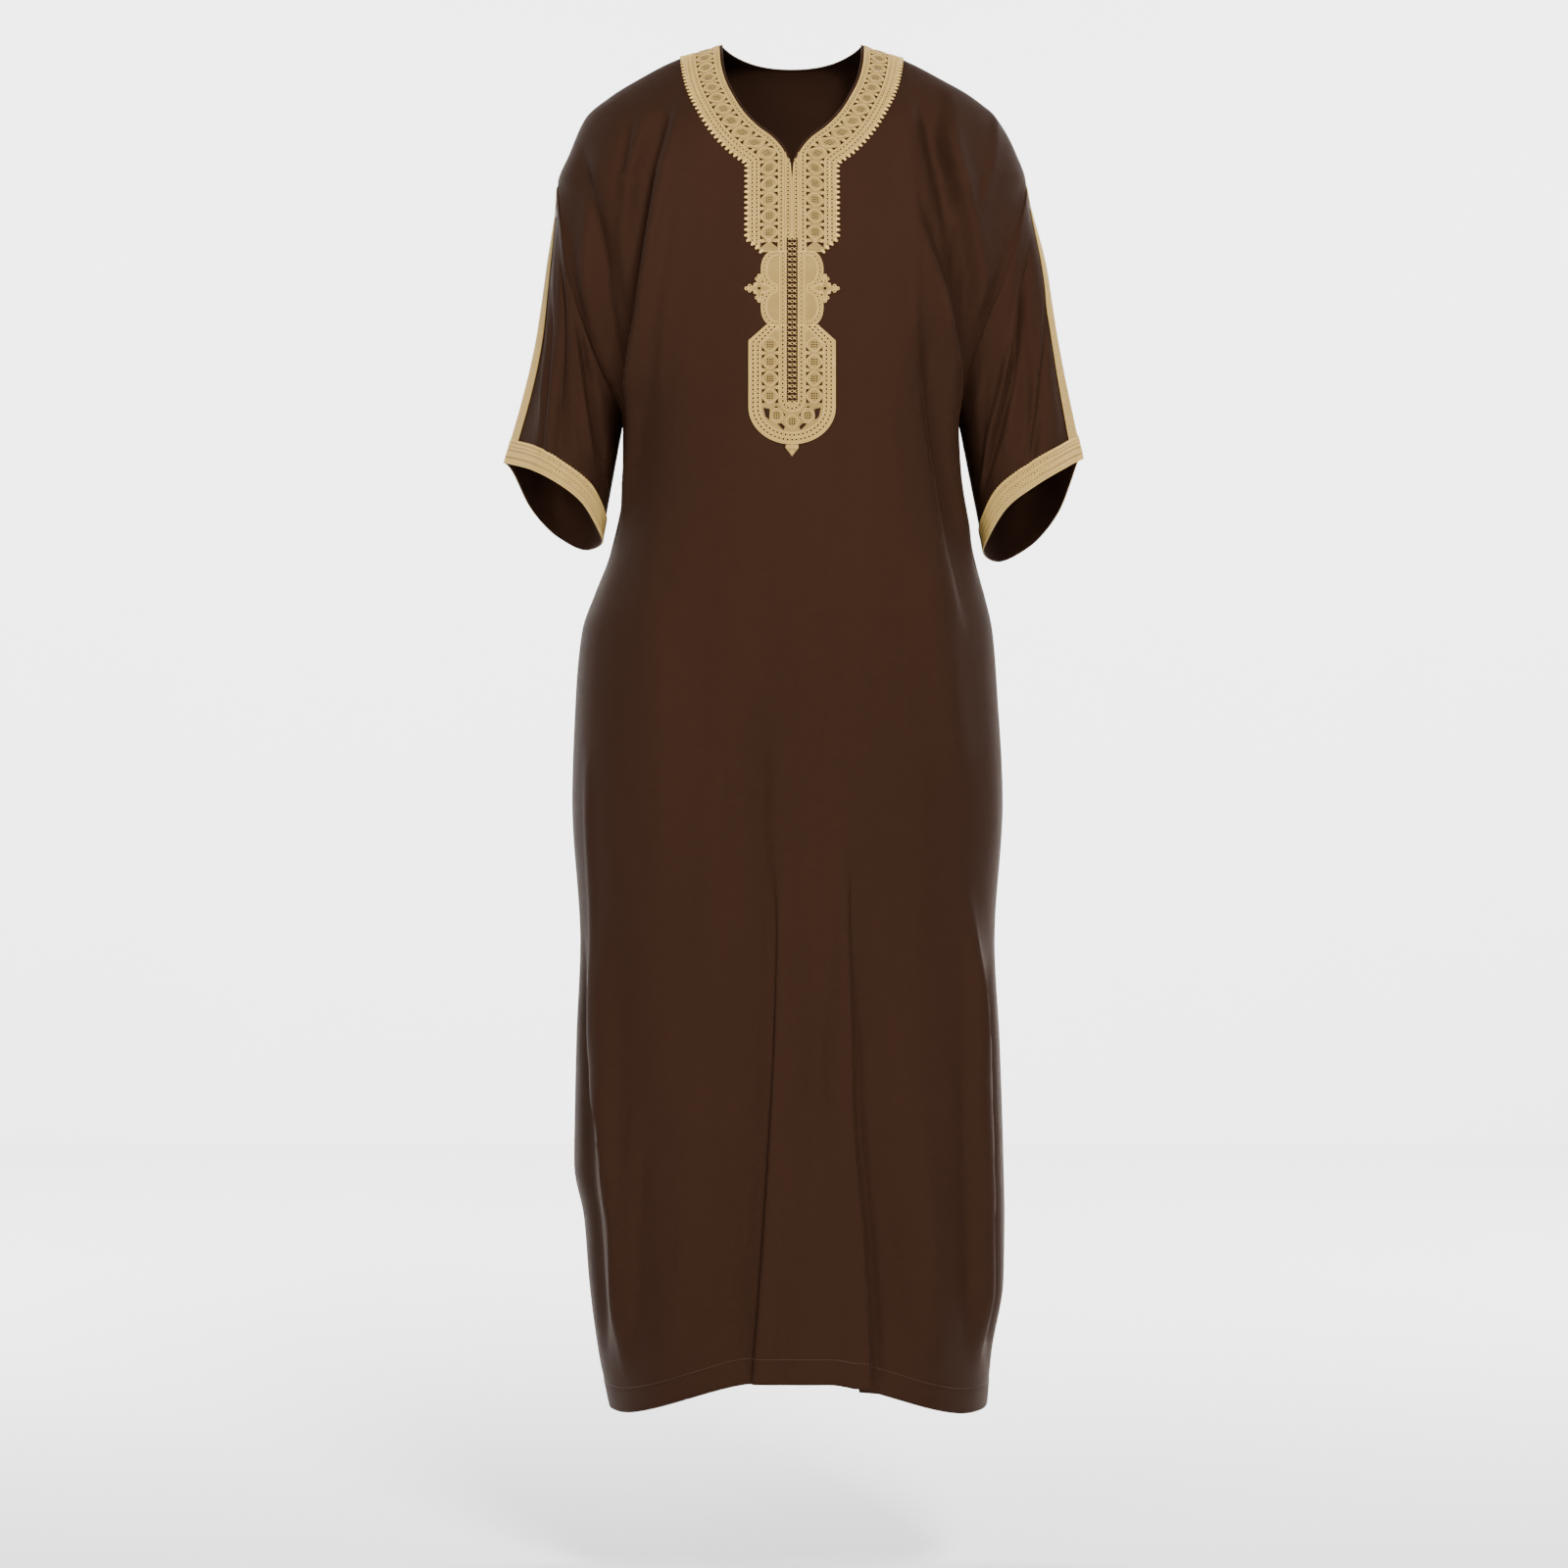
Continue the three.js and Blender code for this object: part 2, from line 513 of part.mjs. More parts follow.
// Gives the seams of a panel their shared directions and the space between the pieces.
function finishPanelEdges(panel, grid) {
  grid.forEach((row) =>
    row.forEach((cell) => {
      if (cell.seamTop && !cell.edge) {
        cell.normal = shoulderNormal(cell.point.x < 0 ? LEFT : RIGHT, cell.drop);
        cell.point.y = SHOULDER_Y + (panel.sign * SEAM) / 2;
      }
      if (!cell.edge) return;
      if (cell.row <= ARMHOLE_ROWS) {
        const half = (Math.PI * cell.row) / ARMHOLE_ROWS;
        const found = armhole(cell.edge, panel === FRONT ? half : 2 * Math.PI - half);
        cell.normal = found.out;
        cell.point.copy(found.point).addScaledVector(found.toSleeve, -SEAM / 2);
      } else {
        cell.normal = new THREE.Vector3(cell.edge.sign, 0, 0);
      }
      const vent = VENT_HALF * smooth((cell.drop - VENT_TOP) / (HEM_SIDE - VENT_TOP));
      const ends = cell.row === 0 || cell.row >= ARMHOLE_ROWS;
      if (ends) cell.point.y += panel.sign * (SEAM / 2 + vent);
    }),
  );
}

// A closed wall between two distances from a grid's outside. Cells for which skip is true are left out.
function wall(grid, from, to, { ring = false, skip = () => false, thick = () => 0 } = {}) {
  const rows = grid.length;
  const columns = grid[0].length;
  const positions = [];
  const index = [];
  const layers = [to, from].map((distance, layer) =>
    grid.map((row) =>
      row.map((cell) => {
        const extra = layer === 1 ? thick(cell) : 0;
        const p = cell.point.clone().addScaledVector(cell.normal, distance - extra);
        positions.push(p.x, p.y, p.z);
        return positions.length / 3 - 1;
      }),
    ),
  );
  const across = ring ? columns : columns - 1;
  const present = (j, k) => {
    if (j < 0 || j >= rows - 1) return false;
    if (!ring && (k < 0 || k >= across)) return false;
    return !skip(j, (k + columns) % columns);
  };
  const quad = (a, b, c, d) => index.push(a, b, c, a, c, d);
  for (let j = 0; j < rows - 1; j += 1) {
    for (let k = 0; k < across; k += 1) {
      if (!present(j, k)) continue;
      const next = (k + 1) % columns;
      const [out, inn] = layers;
      quad(out[j][k], out[j + 1][k], out[j + 1][next], out[j][next]);
      quad(inn[j][k], inn[j][next], inn[j + 1][next], inn[j + 1][k]);
      if (!present(j - 1, k)) quad(out[j][k], out[j][next], inn[j][next], inn[j][k]);
      if (!present(j + 1, k)) {
        quad(out[j + 1][next], out[j + 1][k], inn[j + 1][k], inn[j + 1][next]);
      }
      if (!present(j, k - 1)) quad(out[j + 1][k], out[j][k], inn[j][k], inn[j + 1][k]);
      if (!present(j, k + 1)) {
        quad(out[j][next], out[j + 1][next], inn[j + 1][next], inn[j][next]);
      }
    }
  }
  const geometry = new THREE.BufferGeometry();
  geometry.setAttribute("position", new THREE.Float32BufferAttribute(positions, 3));
  geometry.setIndex(index);
  return geometry;
}

// Turns every face round, for a grid whose columns run the other way.
function turnedOver(geometry) {
  const index = Array.from(geometry.index.array);
  for (let i = 0; i < index.length; i += 3) [index[i + 1], index[i + 2]] = [index[i + 2], index[i + 1]];
  geometry.setIndex(index);
  return geometry;
}

function solid(geometry) {
  const bare = geometry.index ? geometry.toNonIndexed() : geometry.clone();
  bare.deleteAttribute("normal");
  bare.deleteAttribute("uv");
  const merged = mergeVertices(bare, 1e-4);
  return new wasm.Manifold(
    new wasm.Mesh({
      numProp: 3,
      vertProperties: new Float32Array(merged.attributes.position.array),
      triVerts: new Uint32Array(merged.index.array),
    }),
  );
}

function fromSolid(made) {
  const mesh = made.getMesh();
  const positions = [];
  for (let i = 0; i < mesh.numVert; i += 1) {
    positions.push(...mesh.vertProperties.subarray(i * mesh.numProp, i * mesh.numProp + 3));
  }
  const geometry = new THREE.BufferGeometry();
  geometry.setAttribute("position", new THREE.Float32BufferAttribute(positions, 3));
  geometry.setIndex(Array.from(mesh.triVerts));
  return geometry;
}

// A prism through a whole panel, of an outline drawn as seen from the front in x and drop.
function prism(outline, panel) {
  const deep = 240;
  const shape = new THREE.Shape(outline.map(([x, drop]) => new THREE.Vector2(x, -drop)));
  const made = new THREE.ExtrudeGeometry(shape, { depth: deep, bevelEnabled: false });
  made.rotateX(Math.PI / 2);
  made.translate(0, panel === FRONT ? deep / 5 : deep, 0);
  return solid(made);
}

// Cuts one or more outlines out of a shell of braid on a panel.
function cutBraid(shell, outlines, panel) {
  const cutter = outlines.map((outline) => prism(outline, panel)).reduce((all, next) => all.add(next));
  return fromSolid(shell.intersect(cutter));
}

const frontGrid = panelGrid(FRONT);
const backGrid = panelGrid(BACK);
addNormals(frontGrid, -1);
addNormals(backGrid, 1);
finishPanelEdges(FRONT, frontGrid);
finishPanelEdges(BACK, backGrid);

// The slit is the narrow column of cells at the centre, from the neckline to its lower end.
const slitColumn = columnPlaces(FRONT, UNDERARM).indexOf(-SLIT_HALF);
const inSlit = (j, k) => k === slitColumn && frontGrid[j + 1][k].drop < SLIT_END;
const hemThickness = (cell) => (cell.row > ARMHOLE_ROWS + SKIRT_ROWS ? HEM_THICK - CLOTH : 0);

// A sleeve: rings of points from the armhole to the cuff, the last but one at the top of the cuff braid.
// Three neighbouring points of each ring carry the braid down the sleeve, just ahead of a sharp fold.
const RING = 2 * ARMHOLE_ROWS;
const SLEEVE_ROWS = 8;
const stripeDegrees = STRIPE_HALF * SLEEVE_DEGREE;
function ringAngles(stripeAngle) {
  const plain = Array.from({ length: RING - 1 }, (_, j) => (360 * (j + 1)) / RING);
  const all = [0, stripeDegrees, ...plain, 360 - stripeDegrees];
  const turned = (angle) => (stripeAngle * (1 + Math.cos((angle * Math.PI) / 180))) / 2;
  return all.map((angle) => (angle + turned(angle)) % 360);
}

// The points of the armhole for a ring. Those beside the first lie on the body's own edge line.
function armholeRing(side) {
  return ringAngles(0).map((degrees, j, all) => {
    const found = armhole(side, (degrees * Math.PI) / 180);
    if (j !== 1 && j !== all.length - 1) return found;
    const next = armhole(side, ((j === 1 ? 360 / RING : -360 / RING) * Math.PI) / 180);
    const share = (stripeDegrees * RING) / 360;
    const top = armhole(side, 0);
    return {
      point: top.point.clone().lerp(next.point, share),
      out: top.out.clone().lerp(next.out, share).normalize(),
      toSleeve: top.toSleeve.clone().lerp(next.toSleeve, share).normalize(),
    };
  });
}

function sleeveGrid(side) {
  const wrapped = [
    ...CUFF.slice(-2).map((row) => ({ ...row, angle: row.angle - 360 })),
    ...CUFF,
    ...CUFF.slice(0, 3).map((row) => ({ ...row, angle: row.angle + 360 })),
  ];
  const cuffX = curve(wrapped, "angle", side.cuffX);
  const cuffY = curve(wrapped, "angle", "y");
  const cuffDrop = curve(wrapped, "angle", side.cuffDrop);
  const stripe = curve(STRIPE, "share", side.edge);
  const starts = armholeRing(side);
  const rows = [];
  for (let i = 0; i <= SLEEVE_ROWS + 1; i += 1) {
    const nominal = Math.min(i / SLEEVE_ROWS, 1);
    const angles = ringAngles(stripe(nominal));
    rows.push(
      starts.map((start, j) => {
        const own = i === 0 ? start : armhole(side, (angles[j] * Math.PI) / 180);
        const from = own.point.clone().addScaledVector(own.toSleeve, SEAM / 2);
        const to = new THREE.Vector3(
          side.sign * cuffX(angles[j]),
          cuffY(angles[j]),
          -cuffDrop(angles[j]),
        );
        const bandTop = 1 - CUFF_BAND / from.distanceTo(to);
        const share = i > SLEEVE_ROWS ? 1 : (bandTop * i) / SLEEVE_ROWS;
        const point = from.lerp(to, share);
        const outer = Math.max(0, Math.cos((angles[j] * Math.PI) / 180));
        point.x += side.sign * side.bow * outer * Math.sin(Math.PI * share);
        return { point, share, angle: angles[j], crease: stripe(nominal) - stripeDegrees, start };
      }),
    );
  }
  addNormals(rows, side.sign, true);
  rows.slice(1).forEach((row) =>
    row.forEach((cell) => {
      cell.point.addScaledVector(cell.normal, sleeveFoldHeight(cell));
    }),
  );
  addNormals(rows, side.sign, true);
  rows[0].forEach((cell) => {
    cell.normal = cell.start.out;
  });
  return rows;
}

// Height of the folds at a place on a sleeve, the sharp fold behind its braid among them.
function sleeveFoldHeight({ share, angle, crease }) {
  const turn = ((angle - crease + 540) % 360) - 180;
  const sharp = CREASE.height * smooth(share * 3) * Math.exp(-(Math.abs(turn / CREASE.width) ** 1.4));
  return SLEEVE_FOLDS.reduce((sum, fold) => {
    const along = (share - fold.from) / (fold.to - fold.from);
    if (along <= 0 || along >= 1) return sum;
    const off = (angle - lerp(fold.topAngle, fold.bottomAngle, along)) / SLEEVE_DEGREE;
    const ends = smooth(along * 4) * smooth((1 - along) * 5);
    return sum + ends * fold.height * Math.exp(-((off / fold.width) ** 2));
  }, sharp);
}

const sleeves = [
  { name: "left", side: LEFT, grid: sleeveGrid(LEFT) },
  { name: "right", side: RIGHT, grid: sleeveGrid(RIGHT) },
];

// The braid down a sleeve: three points of each ring, from just below the armhole seam to just above the
// cuff braid, as shares of the first and last steps between rings.
const STRIPE_START = 0.03;
const STRIPE_END = 0.02;
function stripeGrid({ side, grid }) {
  const trimmed = (row, next, share) =>
    row.map((cell, k) => ({
      point: cell.point.clone().lerp(next[k].point, share),
      normal: cell.normal,
    }));
  const rows = grid.slice(0, -1).map((row) => {
    const three = [row[row.length - 1], row[0], row[1]];
    return side === LEFT ? three : three.reverse();
  });
  const last = rows.length - 1;
  const start = trimmed(rows[0], rows[1], STRIPE_START);
  const end = trimmed(rows[last], rows[last - 1], STRIPE_END);
  return [start, ...rows.slice(1, -1), end];
}

// Outline of one side of the neck braid, from the shoulder down beside the slit, with toothed edge.
const PAST_SEAM = 20; // the outlines of the neck braid run on this far past the shoulder seam
const OUTLINE_STEPS = 24; // steps of the curve of the neckline in these outlines
function neckBraidOutline(side) {
  const slitEdge = SLIT_HALF + SEAM;
  const drops = curve([...NECKLINE].reverse(), "x", "drop");
  const neckline = [];
  for (let i = 0; i <= OUTLINE_STEPS; i += 1) {
    const x = lerp(slitEdge, NECK_HALF, Math.sin((i / OUTLINE_STEPS) * (Math.PI / 2)));
    neckline.push([x, drops(x)]);
  }
  const offset = (distance) =>
    neckline.map(([x, drop], i) => {
      const [ax, ad] = neckline[Math.max(i - 1, 0)];
      const [bx, bd] = neckline[Math.min(i + 1, neckline.length - 1)];
      const long = Math.hypot(bx - ax, bd - ad);
      return [x + (distance * (ad - bd)) / long, drop + (distance * (bx - ax)) / long];
    });
  const inner = offset(ROLL).filter(([x, drop]) => x > slitEdge && drop < PLACKET_TOP + 2 * ROLL);
  const outer = offset(BAND).filter(([x]) => x > PLACKET_HALF);
  const corner = inner[0][1] + 2 * ROLL;
  const reach = NECK_HALF + BAND + ROLL;
  const edge = [[reach, ROLL], ...outer.reverse(), [PLACKET_HALF, PLACKET_TOP], [PLACKET_HALF, PLACKET_END]];
  const outline = [
    [slitEdge, SCALLOPS.top - SEAM],
    [slitEdge, corner],
    ...inner,
    [NECK_HALF + ROLL, -PAST_SEAM],
    [reach, -PAST_SEAM],
    ...toothed(edge),
    [PLACKET_FOOT, SCALLOPS.top - SEAM],
  ];
  return outline.map(([x, drop]) => [side.sign * x, drop]);
}

// Adds small triangular teeth to a line, standing out on its left as it runs down the right side.
function toothed(path) {
  const lengths = lineLengths(path);
  const total = lengths[lengths.length - 1];
  const count = Math.round(total / TOOTH_PITCH);
  const at = (along) => [
    between(lengths, path.map((p) => p[0]), along),
    between(lengths, path.map((p) => p[1]), along),
  ];
  const out = [];
  for (let i = 0; i < count; i += 1) {
    const a = at((total * i) / count);
    const b = at((total * (i + 0.5)) / count);
    const c = at((total * (i + 1)) / count);
    const long = Math.hypot(c[0] - a[0], c[1] - a[1]) || 1;
    out.push(a, [b[0] + (TOOTH * (c[1] - a[1])) / long, b[1] - (TOOTH * (c[0] - a[0])) / long]);
  }
  out.push(path[path.length - 1]);
  return out;
}

// Outline of the scalloped part on one side: two round lobes beside the lattice.
const LOBE_STEPS = 10;
function scallopOutline(side) {
  const { top, end, centres, radius, notch, out } = SCALLOPS;
  const inner = LATTICE.half + SEAM;
  const outline = [[inner, end - SEAM], [inner, top]];
  centres.forEach((centre) => {
    for (let i = 0; i <= LOBE_STEPS; i += 1) {
      const a = (Math.PI * i) / LOBE_STEPS;
      outline.push([notch + out * Math.sin(a), centre - radius * Math.cos(a)]);
    }
  });
  return outline.map(([x, drop]) => [side.sign * x, Math.min(drop, end - SEAM)]);
}

// Outline of the small star between the lobes: three arms, and a broad root that joins it to them.
const STAR_STEPS = 48;
function starOutline(side) {
  const arms = [
    { at: 0, reach: STAR.arm, width: STAR.armWidth },
    { at: Math.PI / 2, reach: STAR.arm, width: STAR.armWidth },
    { at: (3 * Math.PI) / 2, reach: STAR.arm, width: STAR.armWidth },
    { at: Math.PI, reach: STAR.root, width: STAR.rootWidth },
  ];
  const points = Array.from({ length: STAR_STEPS }, (_, i) => {
    const turn = (2 * Math.PI * i) / STAR_STEPS;
    const reach = arms.reduce((sum, arm) => {
      const off = Math.min(Math.abs(turn - arm.at), 2 * Math.PI - Math.abs(turn - arm.at));
      return sum + (arm.reach - STAR.body) * Math.exp(-((off / arm.width) ** 2));
    }, STAR.body);
    return [STAR.x + reach * Math.cos(turn), STAR.drop + reach * Math.sin(turn)];
  });
  return points.map(([x, drop]) => [side.sign * x, drop]);
}

// Outline of the cartouche at the foot of the embroidery, open at the top round the lattice.
function cartoucheOutline() {
  const { top, neck, shoulder, half, round, bottom } = CARTOUCHE;
  const inner = LATTICE.half + SEAM;
  const right = [[inner, LATTICE.bottom + SEAM], [inner, top], [neck, top], [half, shoulder], [half, round]];
  for (let i = 1; i <= 7; i += 1) {
    const a = (Math.PI / 2) * (i / 8);
    right.push([half * Math.cos(a), round + (bottom - round) * Math.sin(a)]);
  }
  const { half: tipHalf, length } = CARTOUCHE_TIP;
  right.push([tipHalf, bottom - SEAM], [tipHalf, bottom + length / 3], [0, bottom + length]);
  const left = right.slice(0, -1).reverse().map(([x, d]) => [-x, d]);
  return [...right, ...left];
}

function latticeOutline() {
  const { half, top, bottom } = LATTICE;
  return [[-half, top], [half, top], [half, bottom], [-half, bottom]];
}

// Outline of the braid round the back of the neck, as seen from behind the shoulders.
function backBraidOutline() {
  const outer = [];
  const inner = [];
  const reach = NECK_HALF + BAND;
  const edge = NECK_HALF + ROLL / 2;
  for (let i = 0; i <= OUTLINE_STEPS; i += 1) {
    const x = lerp(-1, 1, i / OUTLINE_STEPS);
    outer.push([x * reach, BACK_BAND_DROP - BACK_BAND_RISE * Math.abs(x) ** 2.6]);
    inner.push([x * edge, backNeckline(Math.abs(x)) + ROLL * (1 - Math.abs(x) ** 6)]);
  }
  const past = -PAST_SEAM / 2;
  const right = [[reach, past], [edge + SEAM, past]];
  const left = [[-edge - SEAM, past], [-reach, past]];
  return [...outer, ...right, ...inner.reverse(), ...left];
}

const BROWN = new THREE.MeshStandardMaterial({ color: 0x3e2619, roughness: 0.62, metalness: 0 });
const GOLD = new THREE.MeshStandardMaterial({ color: 0xcfb983, roughness: 0.5, metalness: 0.25 });

const thobe = new THREE.Group();
thobe.name = "thobe";

function addPiece(name, geometry, material) {
  geometry.computeVertexNormals();
  const mesh = new THREE.Mesh(geometry, material);
  mesh.name = name;
  thobe.add(mesh);
}

addPiece("front_panel", wall(frontGrid, -CLOTH, 0, { skip: inSlit, thick: hemThickness }), BROWN);
addPiece("back_panel", turnedOver(wall(backGrid, -CLOTH, 0, { thick: hemThickness })), BROWN);

sleeves.forEach((sleeve) => {
  const face = sleeve.side === RIGHT ? turnedOver : (geometry) => geometry;
  addPiece(`sleeve_${sleeve.name}`, face(wall(sleeve.grid, -CLOTH, 0, { ring: true })), BROWN);
  const band = sleeve.grid.slice(-2);
  addPiece(`cuff_braid_${sleeve.name}`, face(wall(band, SEAM, SEAM + BRAID, { ring: true })), GOLD);
  addPiece(`sleeve_braid_${sleeve.name}`, wall(stripeGrid(sleeve), SEAM, SEAM + BRAID), GOLD);
});

// Shells of braid over the rows of each panel that its embroidery reaches
const FRONT_BRAID_ROWS = 15;
const BACK_BRAID_ROWS = 8;
const frontShell = solid(wall(frontGrid.slice(0, FRONT_BRAID_ROWS), SEAM, SEAM + BRAID, { skip: inSlit }));
const backShell = solid(turnedOver(wall(backGrid.slice(0, BACK_BRAID_ROWS), SEAM, SEAM + BRAID)));
[LEFT, RIGHT].forEach((side) => {
  const neck = cutBraid(frontShell, [neckBraidOutline(side)], FRONT);
  const scallops = cutBraid(frontShell, [scallopOutline(side), starOutline(side)], FRONT);
  addPiece(`neck_braid_${side.edge}`, neck, GOLD);
  addPiece(`placket_scallops_${side.edge}`, scallops, GOLD);
});
addPiece("neck_braid_back", cutBraid(backShell, [backBraidOutline()], BACK), GOLD);
addPiece("placket_cartouche", cutBraid(frontShell, [cartoucheOutline()], FRONT), GOLD);
addPiece("placket_lattice", cutBraid(frontShell, [latticeOutline()], FRONT), GOLD);

export default thobe;
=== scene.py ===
"""The looks of a long brown gown with gold braid, as it hangs when it is worn.

Metres. +X is to the right as seen from the front, -Y is the front and +Z is up. The origin lies on the
shoulders, midway between the two highest points of the neckline. A drop is a distance below it.
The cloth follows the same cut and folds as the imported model, with finer folds added. The embroidery is
drawn flat, laid on the cloth, and finished with rows of thread and rings.
"""
import math

import bpy
import numpy as np
from mathutils.geometry import delaunay_2d_cdt
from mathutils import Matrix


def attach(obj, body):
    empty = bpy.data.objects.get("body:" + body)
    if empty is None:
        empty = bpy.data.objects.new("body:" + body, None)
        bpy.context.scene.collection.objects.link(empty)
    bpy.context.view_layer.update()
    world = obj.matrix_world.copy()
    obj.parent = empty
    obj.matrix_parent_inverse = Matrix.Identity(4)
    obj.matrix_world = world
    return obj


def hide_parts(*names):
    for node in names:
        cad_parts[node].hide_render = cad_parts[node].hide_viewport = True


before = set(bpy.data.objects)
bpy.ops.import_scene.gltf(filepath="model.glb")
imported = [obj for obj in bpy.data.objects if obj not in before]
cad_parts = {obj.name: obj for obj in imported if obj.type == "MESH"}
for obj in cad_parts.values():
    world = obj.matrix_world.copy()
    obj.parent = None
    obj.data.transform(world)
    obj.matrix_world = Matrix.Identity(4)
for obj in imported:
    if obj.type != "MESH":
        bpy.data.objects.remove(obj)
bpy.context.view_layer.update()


def table(columns, *rows):
    """A table's columns by name, as arrays."""
    return dict(zip(columns.split(), np.array(rows, float).T))


# Driving dimensions of the cut
CLOTH = 0.0009  # thickness of the cloth
SEAM = 0.0001  # space between two pieces where they are sewn together
SEAM_DIP = 0.0010  # depth of the groove along a seam
SEAM_RIDGE = 0.0006  # height of the cloth folded under beside it
FOLD_FADE = 0.022  # width beside a seam in which the folds fade out
SHOULDER_TIP = 0.145  # drop of the top of the armhole
UNDERARM = 0.385  # drop of the bottom of the armhole
HEM_CENTRE = 1.345  # drop of the hem at the centre of the front
HEM_SIDE = 1.383  # drop of the hem at the sides and back
HEM_TURN = 0.025  # depth of the turned-up hem
SHOULDER_Y = 0.007  # the shoulder seam lies a little behind the origin
EVEN_OUT = 0.075  # drop over which the body's width is evened out at the underarm
SLIT_HALF = 0.0008  # half the width of the slit below the neckline
SLIT_END = 0.210  # drop of the lower end of the slit
NECK_HALF = 0.072  # half the width of the neck opening at the shoulders
BACK_NECK = 0.014  # drop of the back neckline
VENT_TOP = 1.195  # drop of the top of the side vents
VENT_HALF = 0.0025  # half the gap of a vent at the hem
CUFF_BAND = 0.024  # width of the braid round each cuff
STRIPE_HALF = 0.0075  # half the width of the braid down each sleeve

# Half widths of the body at its seams: shoulder seam to the shoulder tip, then armhole, then side.
EDGE = table(
    "drop left right",
    (0.000, 0.072, 0.072), (0.005, 0.084, 0.082), (0.015, 0.116, 0.112), (0.035, 0.155, 0.151),
    (0.055, 0.187, 0.185), (0.075, 0.210, 0.208), (0.110, 0.226, 0.228), (0.145, 0.239, 0.239),
    (0.190, 0.234, 0.231), (0.240, 0.226, 0.216), (0.290, 0.211, 0.196), (0.340, 0.192, 0.179),
    (0.385, 0.172, 0.170), (0.450, 0.172, 0.173), (0.520, 0.184, 0.184), (0.560, 0.199, 0.194),
    (0.600, 0.213, 0.203), (0.660, 0.219, 0.208), (0.775, 0.223, 0.214), (0.915, 0.215, 0.206),
    (1.015, 0.219, 0.211), (1.140, 0.221, 0.215), (1.195, 0.211, 0.216), (1.260, 0.206, 0.215),
    (1.330, 0.197, 0.203), (1.385, 0.186, 0.198),
)
# Depth of the body in front and behind, Y of its side seam, and how its section is rounded.
TORSO = table(
    "drop front back seam square round",
    (0.000, 0.002, 0.040, 0.007, 2.4, 0.42), (0.005, 0.012, 0.058, 0.007, 2.4, 0.42),
    (0.015, 0.024, 0.074, 0.007, 2.4, 0.42), (0.035, 0.042, 0.086, 0.007, 2.4, 0.42),
    (0.055, 0.060, 0.094, 0.007, 2.4, 0.42), (0.085, 0.082, 0.104, 0.007, 2.4, 0.42),
    (0.125, 0.098, 0.112, 0.007, 2.5, 0.44), (0.160, 0.110, 0.118, 0.007, 2.5, 0.46),
    (0.220, 0.124, 0.123, 0.007, 2.6, 0.50), (0.300, 0.133, 0.122, 0.006, 2.7, 0.48),
    (0.385, 0.138, 0.119, 0.004, 2.7, 0.43), (0.520, 0.142, 0.121, -0.010, 2.7, 0.40),
    (0.650, 0.144, 0.129, -0.014, 2.7, 0.40), (0.900, 0.147, 0.134, -0.010, 2.7, 0.40),
    (1.385, 0.151, 0.138, -0.004, 2.7, 0.40),
)
# Right half of the front neckline, from the shoulder down to the top of the slit.
NECKLINE = table(
    "x drop",
    (0.0720, 0.000), (0.0705, 0.022), (0.0660, 0.043), (0.0580, 0.062), (0.0470, 0.081),
    (0.0335, 0.096), (0.0185, 0.108), (0.0090, 0.119), (0.0035, 0.130), (0.0008, 0.142),
)
# Cuff edge by the angle round the sleeve: 0 is the outside of the arm, 90 the front, 180 the inside.
CUFF = table(
    "angle y left_x left_drop right_x right_drop",
    (0, 0.002, 0.286, 0.430, 0.292, 0.424), (45, -0.041, 0.265, 0.437, 0.279, 0.434),
    (90, -0.058, 0.240, 0.450, 0.250, 0.452), (135, -0.042, 0.211, 0.473, 0.216, 0.478),
    (180, 0.002, 0.194, 0.507, 0.196, 0.517), (225, 0.048, 0.212, 0.514, 0.213, 0.526),
    (270, 0.064, 0.243, 0.499, 0.247, 0.509), (315, 0.048, 0.272, 0.466, 0.277, 0.471),
)
# Angle of the middle of the braid down each sleeve, by share of the way to the cuff.
STRIPE = table("share left right", (0, 0, 0), (0.3, 0, 22), (0.6, 14, 30), (1, 10, 30))
CREASE_HEIGHT = 0.008  # height of the sharp fold behind that braid
CREASE_WIDTH = 13  # and its width in degrees
SLEEVE_LENGTH = 0.28  # length of its cloth, for the weave
SLEEVE_DEGREE = 970  # degrees round a sleeve for each metre of its cloth

# The two edges of the box fold as seen from the front, and how far they lap and stand forward.
BOX_FOLD = table(
    "drop left right half lap forward",
    (0.000, -0.030, 0.048, 0.010, 0.000, 0.000), (0.640, -0.014, 0.054, 0.012, 0.000, 0.000),
    (0.800, -0.012, 0.052, 0.011, 0.001, 0.001), (0.910, -0.014, 0.056, 0.009, 0.003, 0.004),
    (1.006, -0.017, 0.059, 0.009, 0.006, 0.006), (1.086, -0.021, 0.061, 0.010, 0.008, 0.008),
    (1.200, -0.028, 0.071, 0.011, 0.010, 0.010), (1.383, -0.042, 0.080, 0.012, 0.012, 0.012),
)
BOX_SHARP = 0.0065  # where the fold stands this far forward, its edges are fully turned
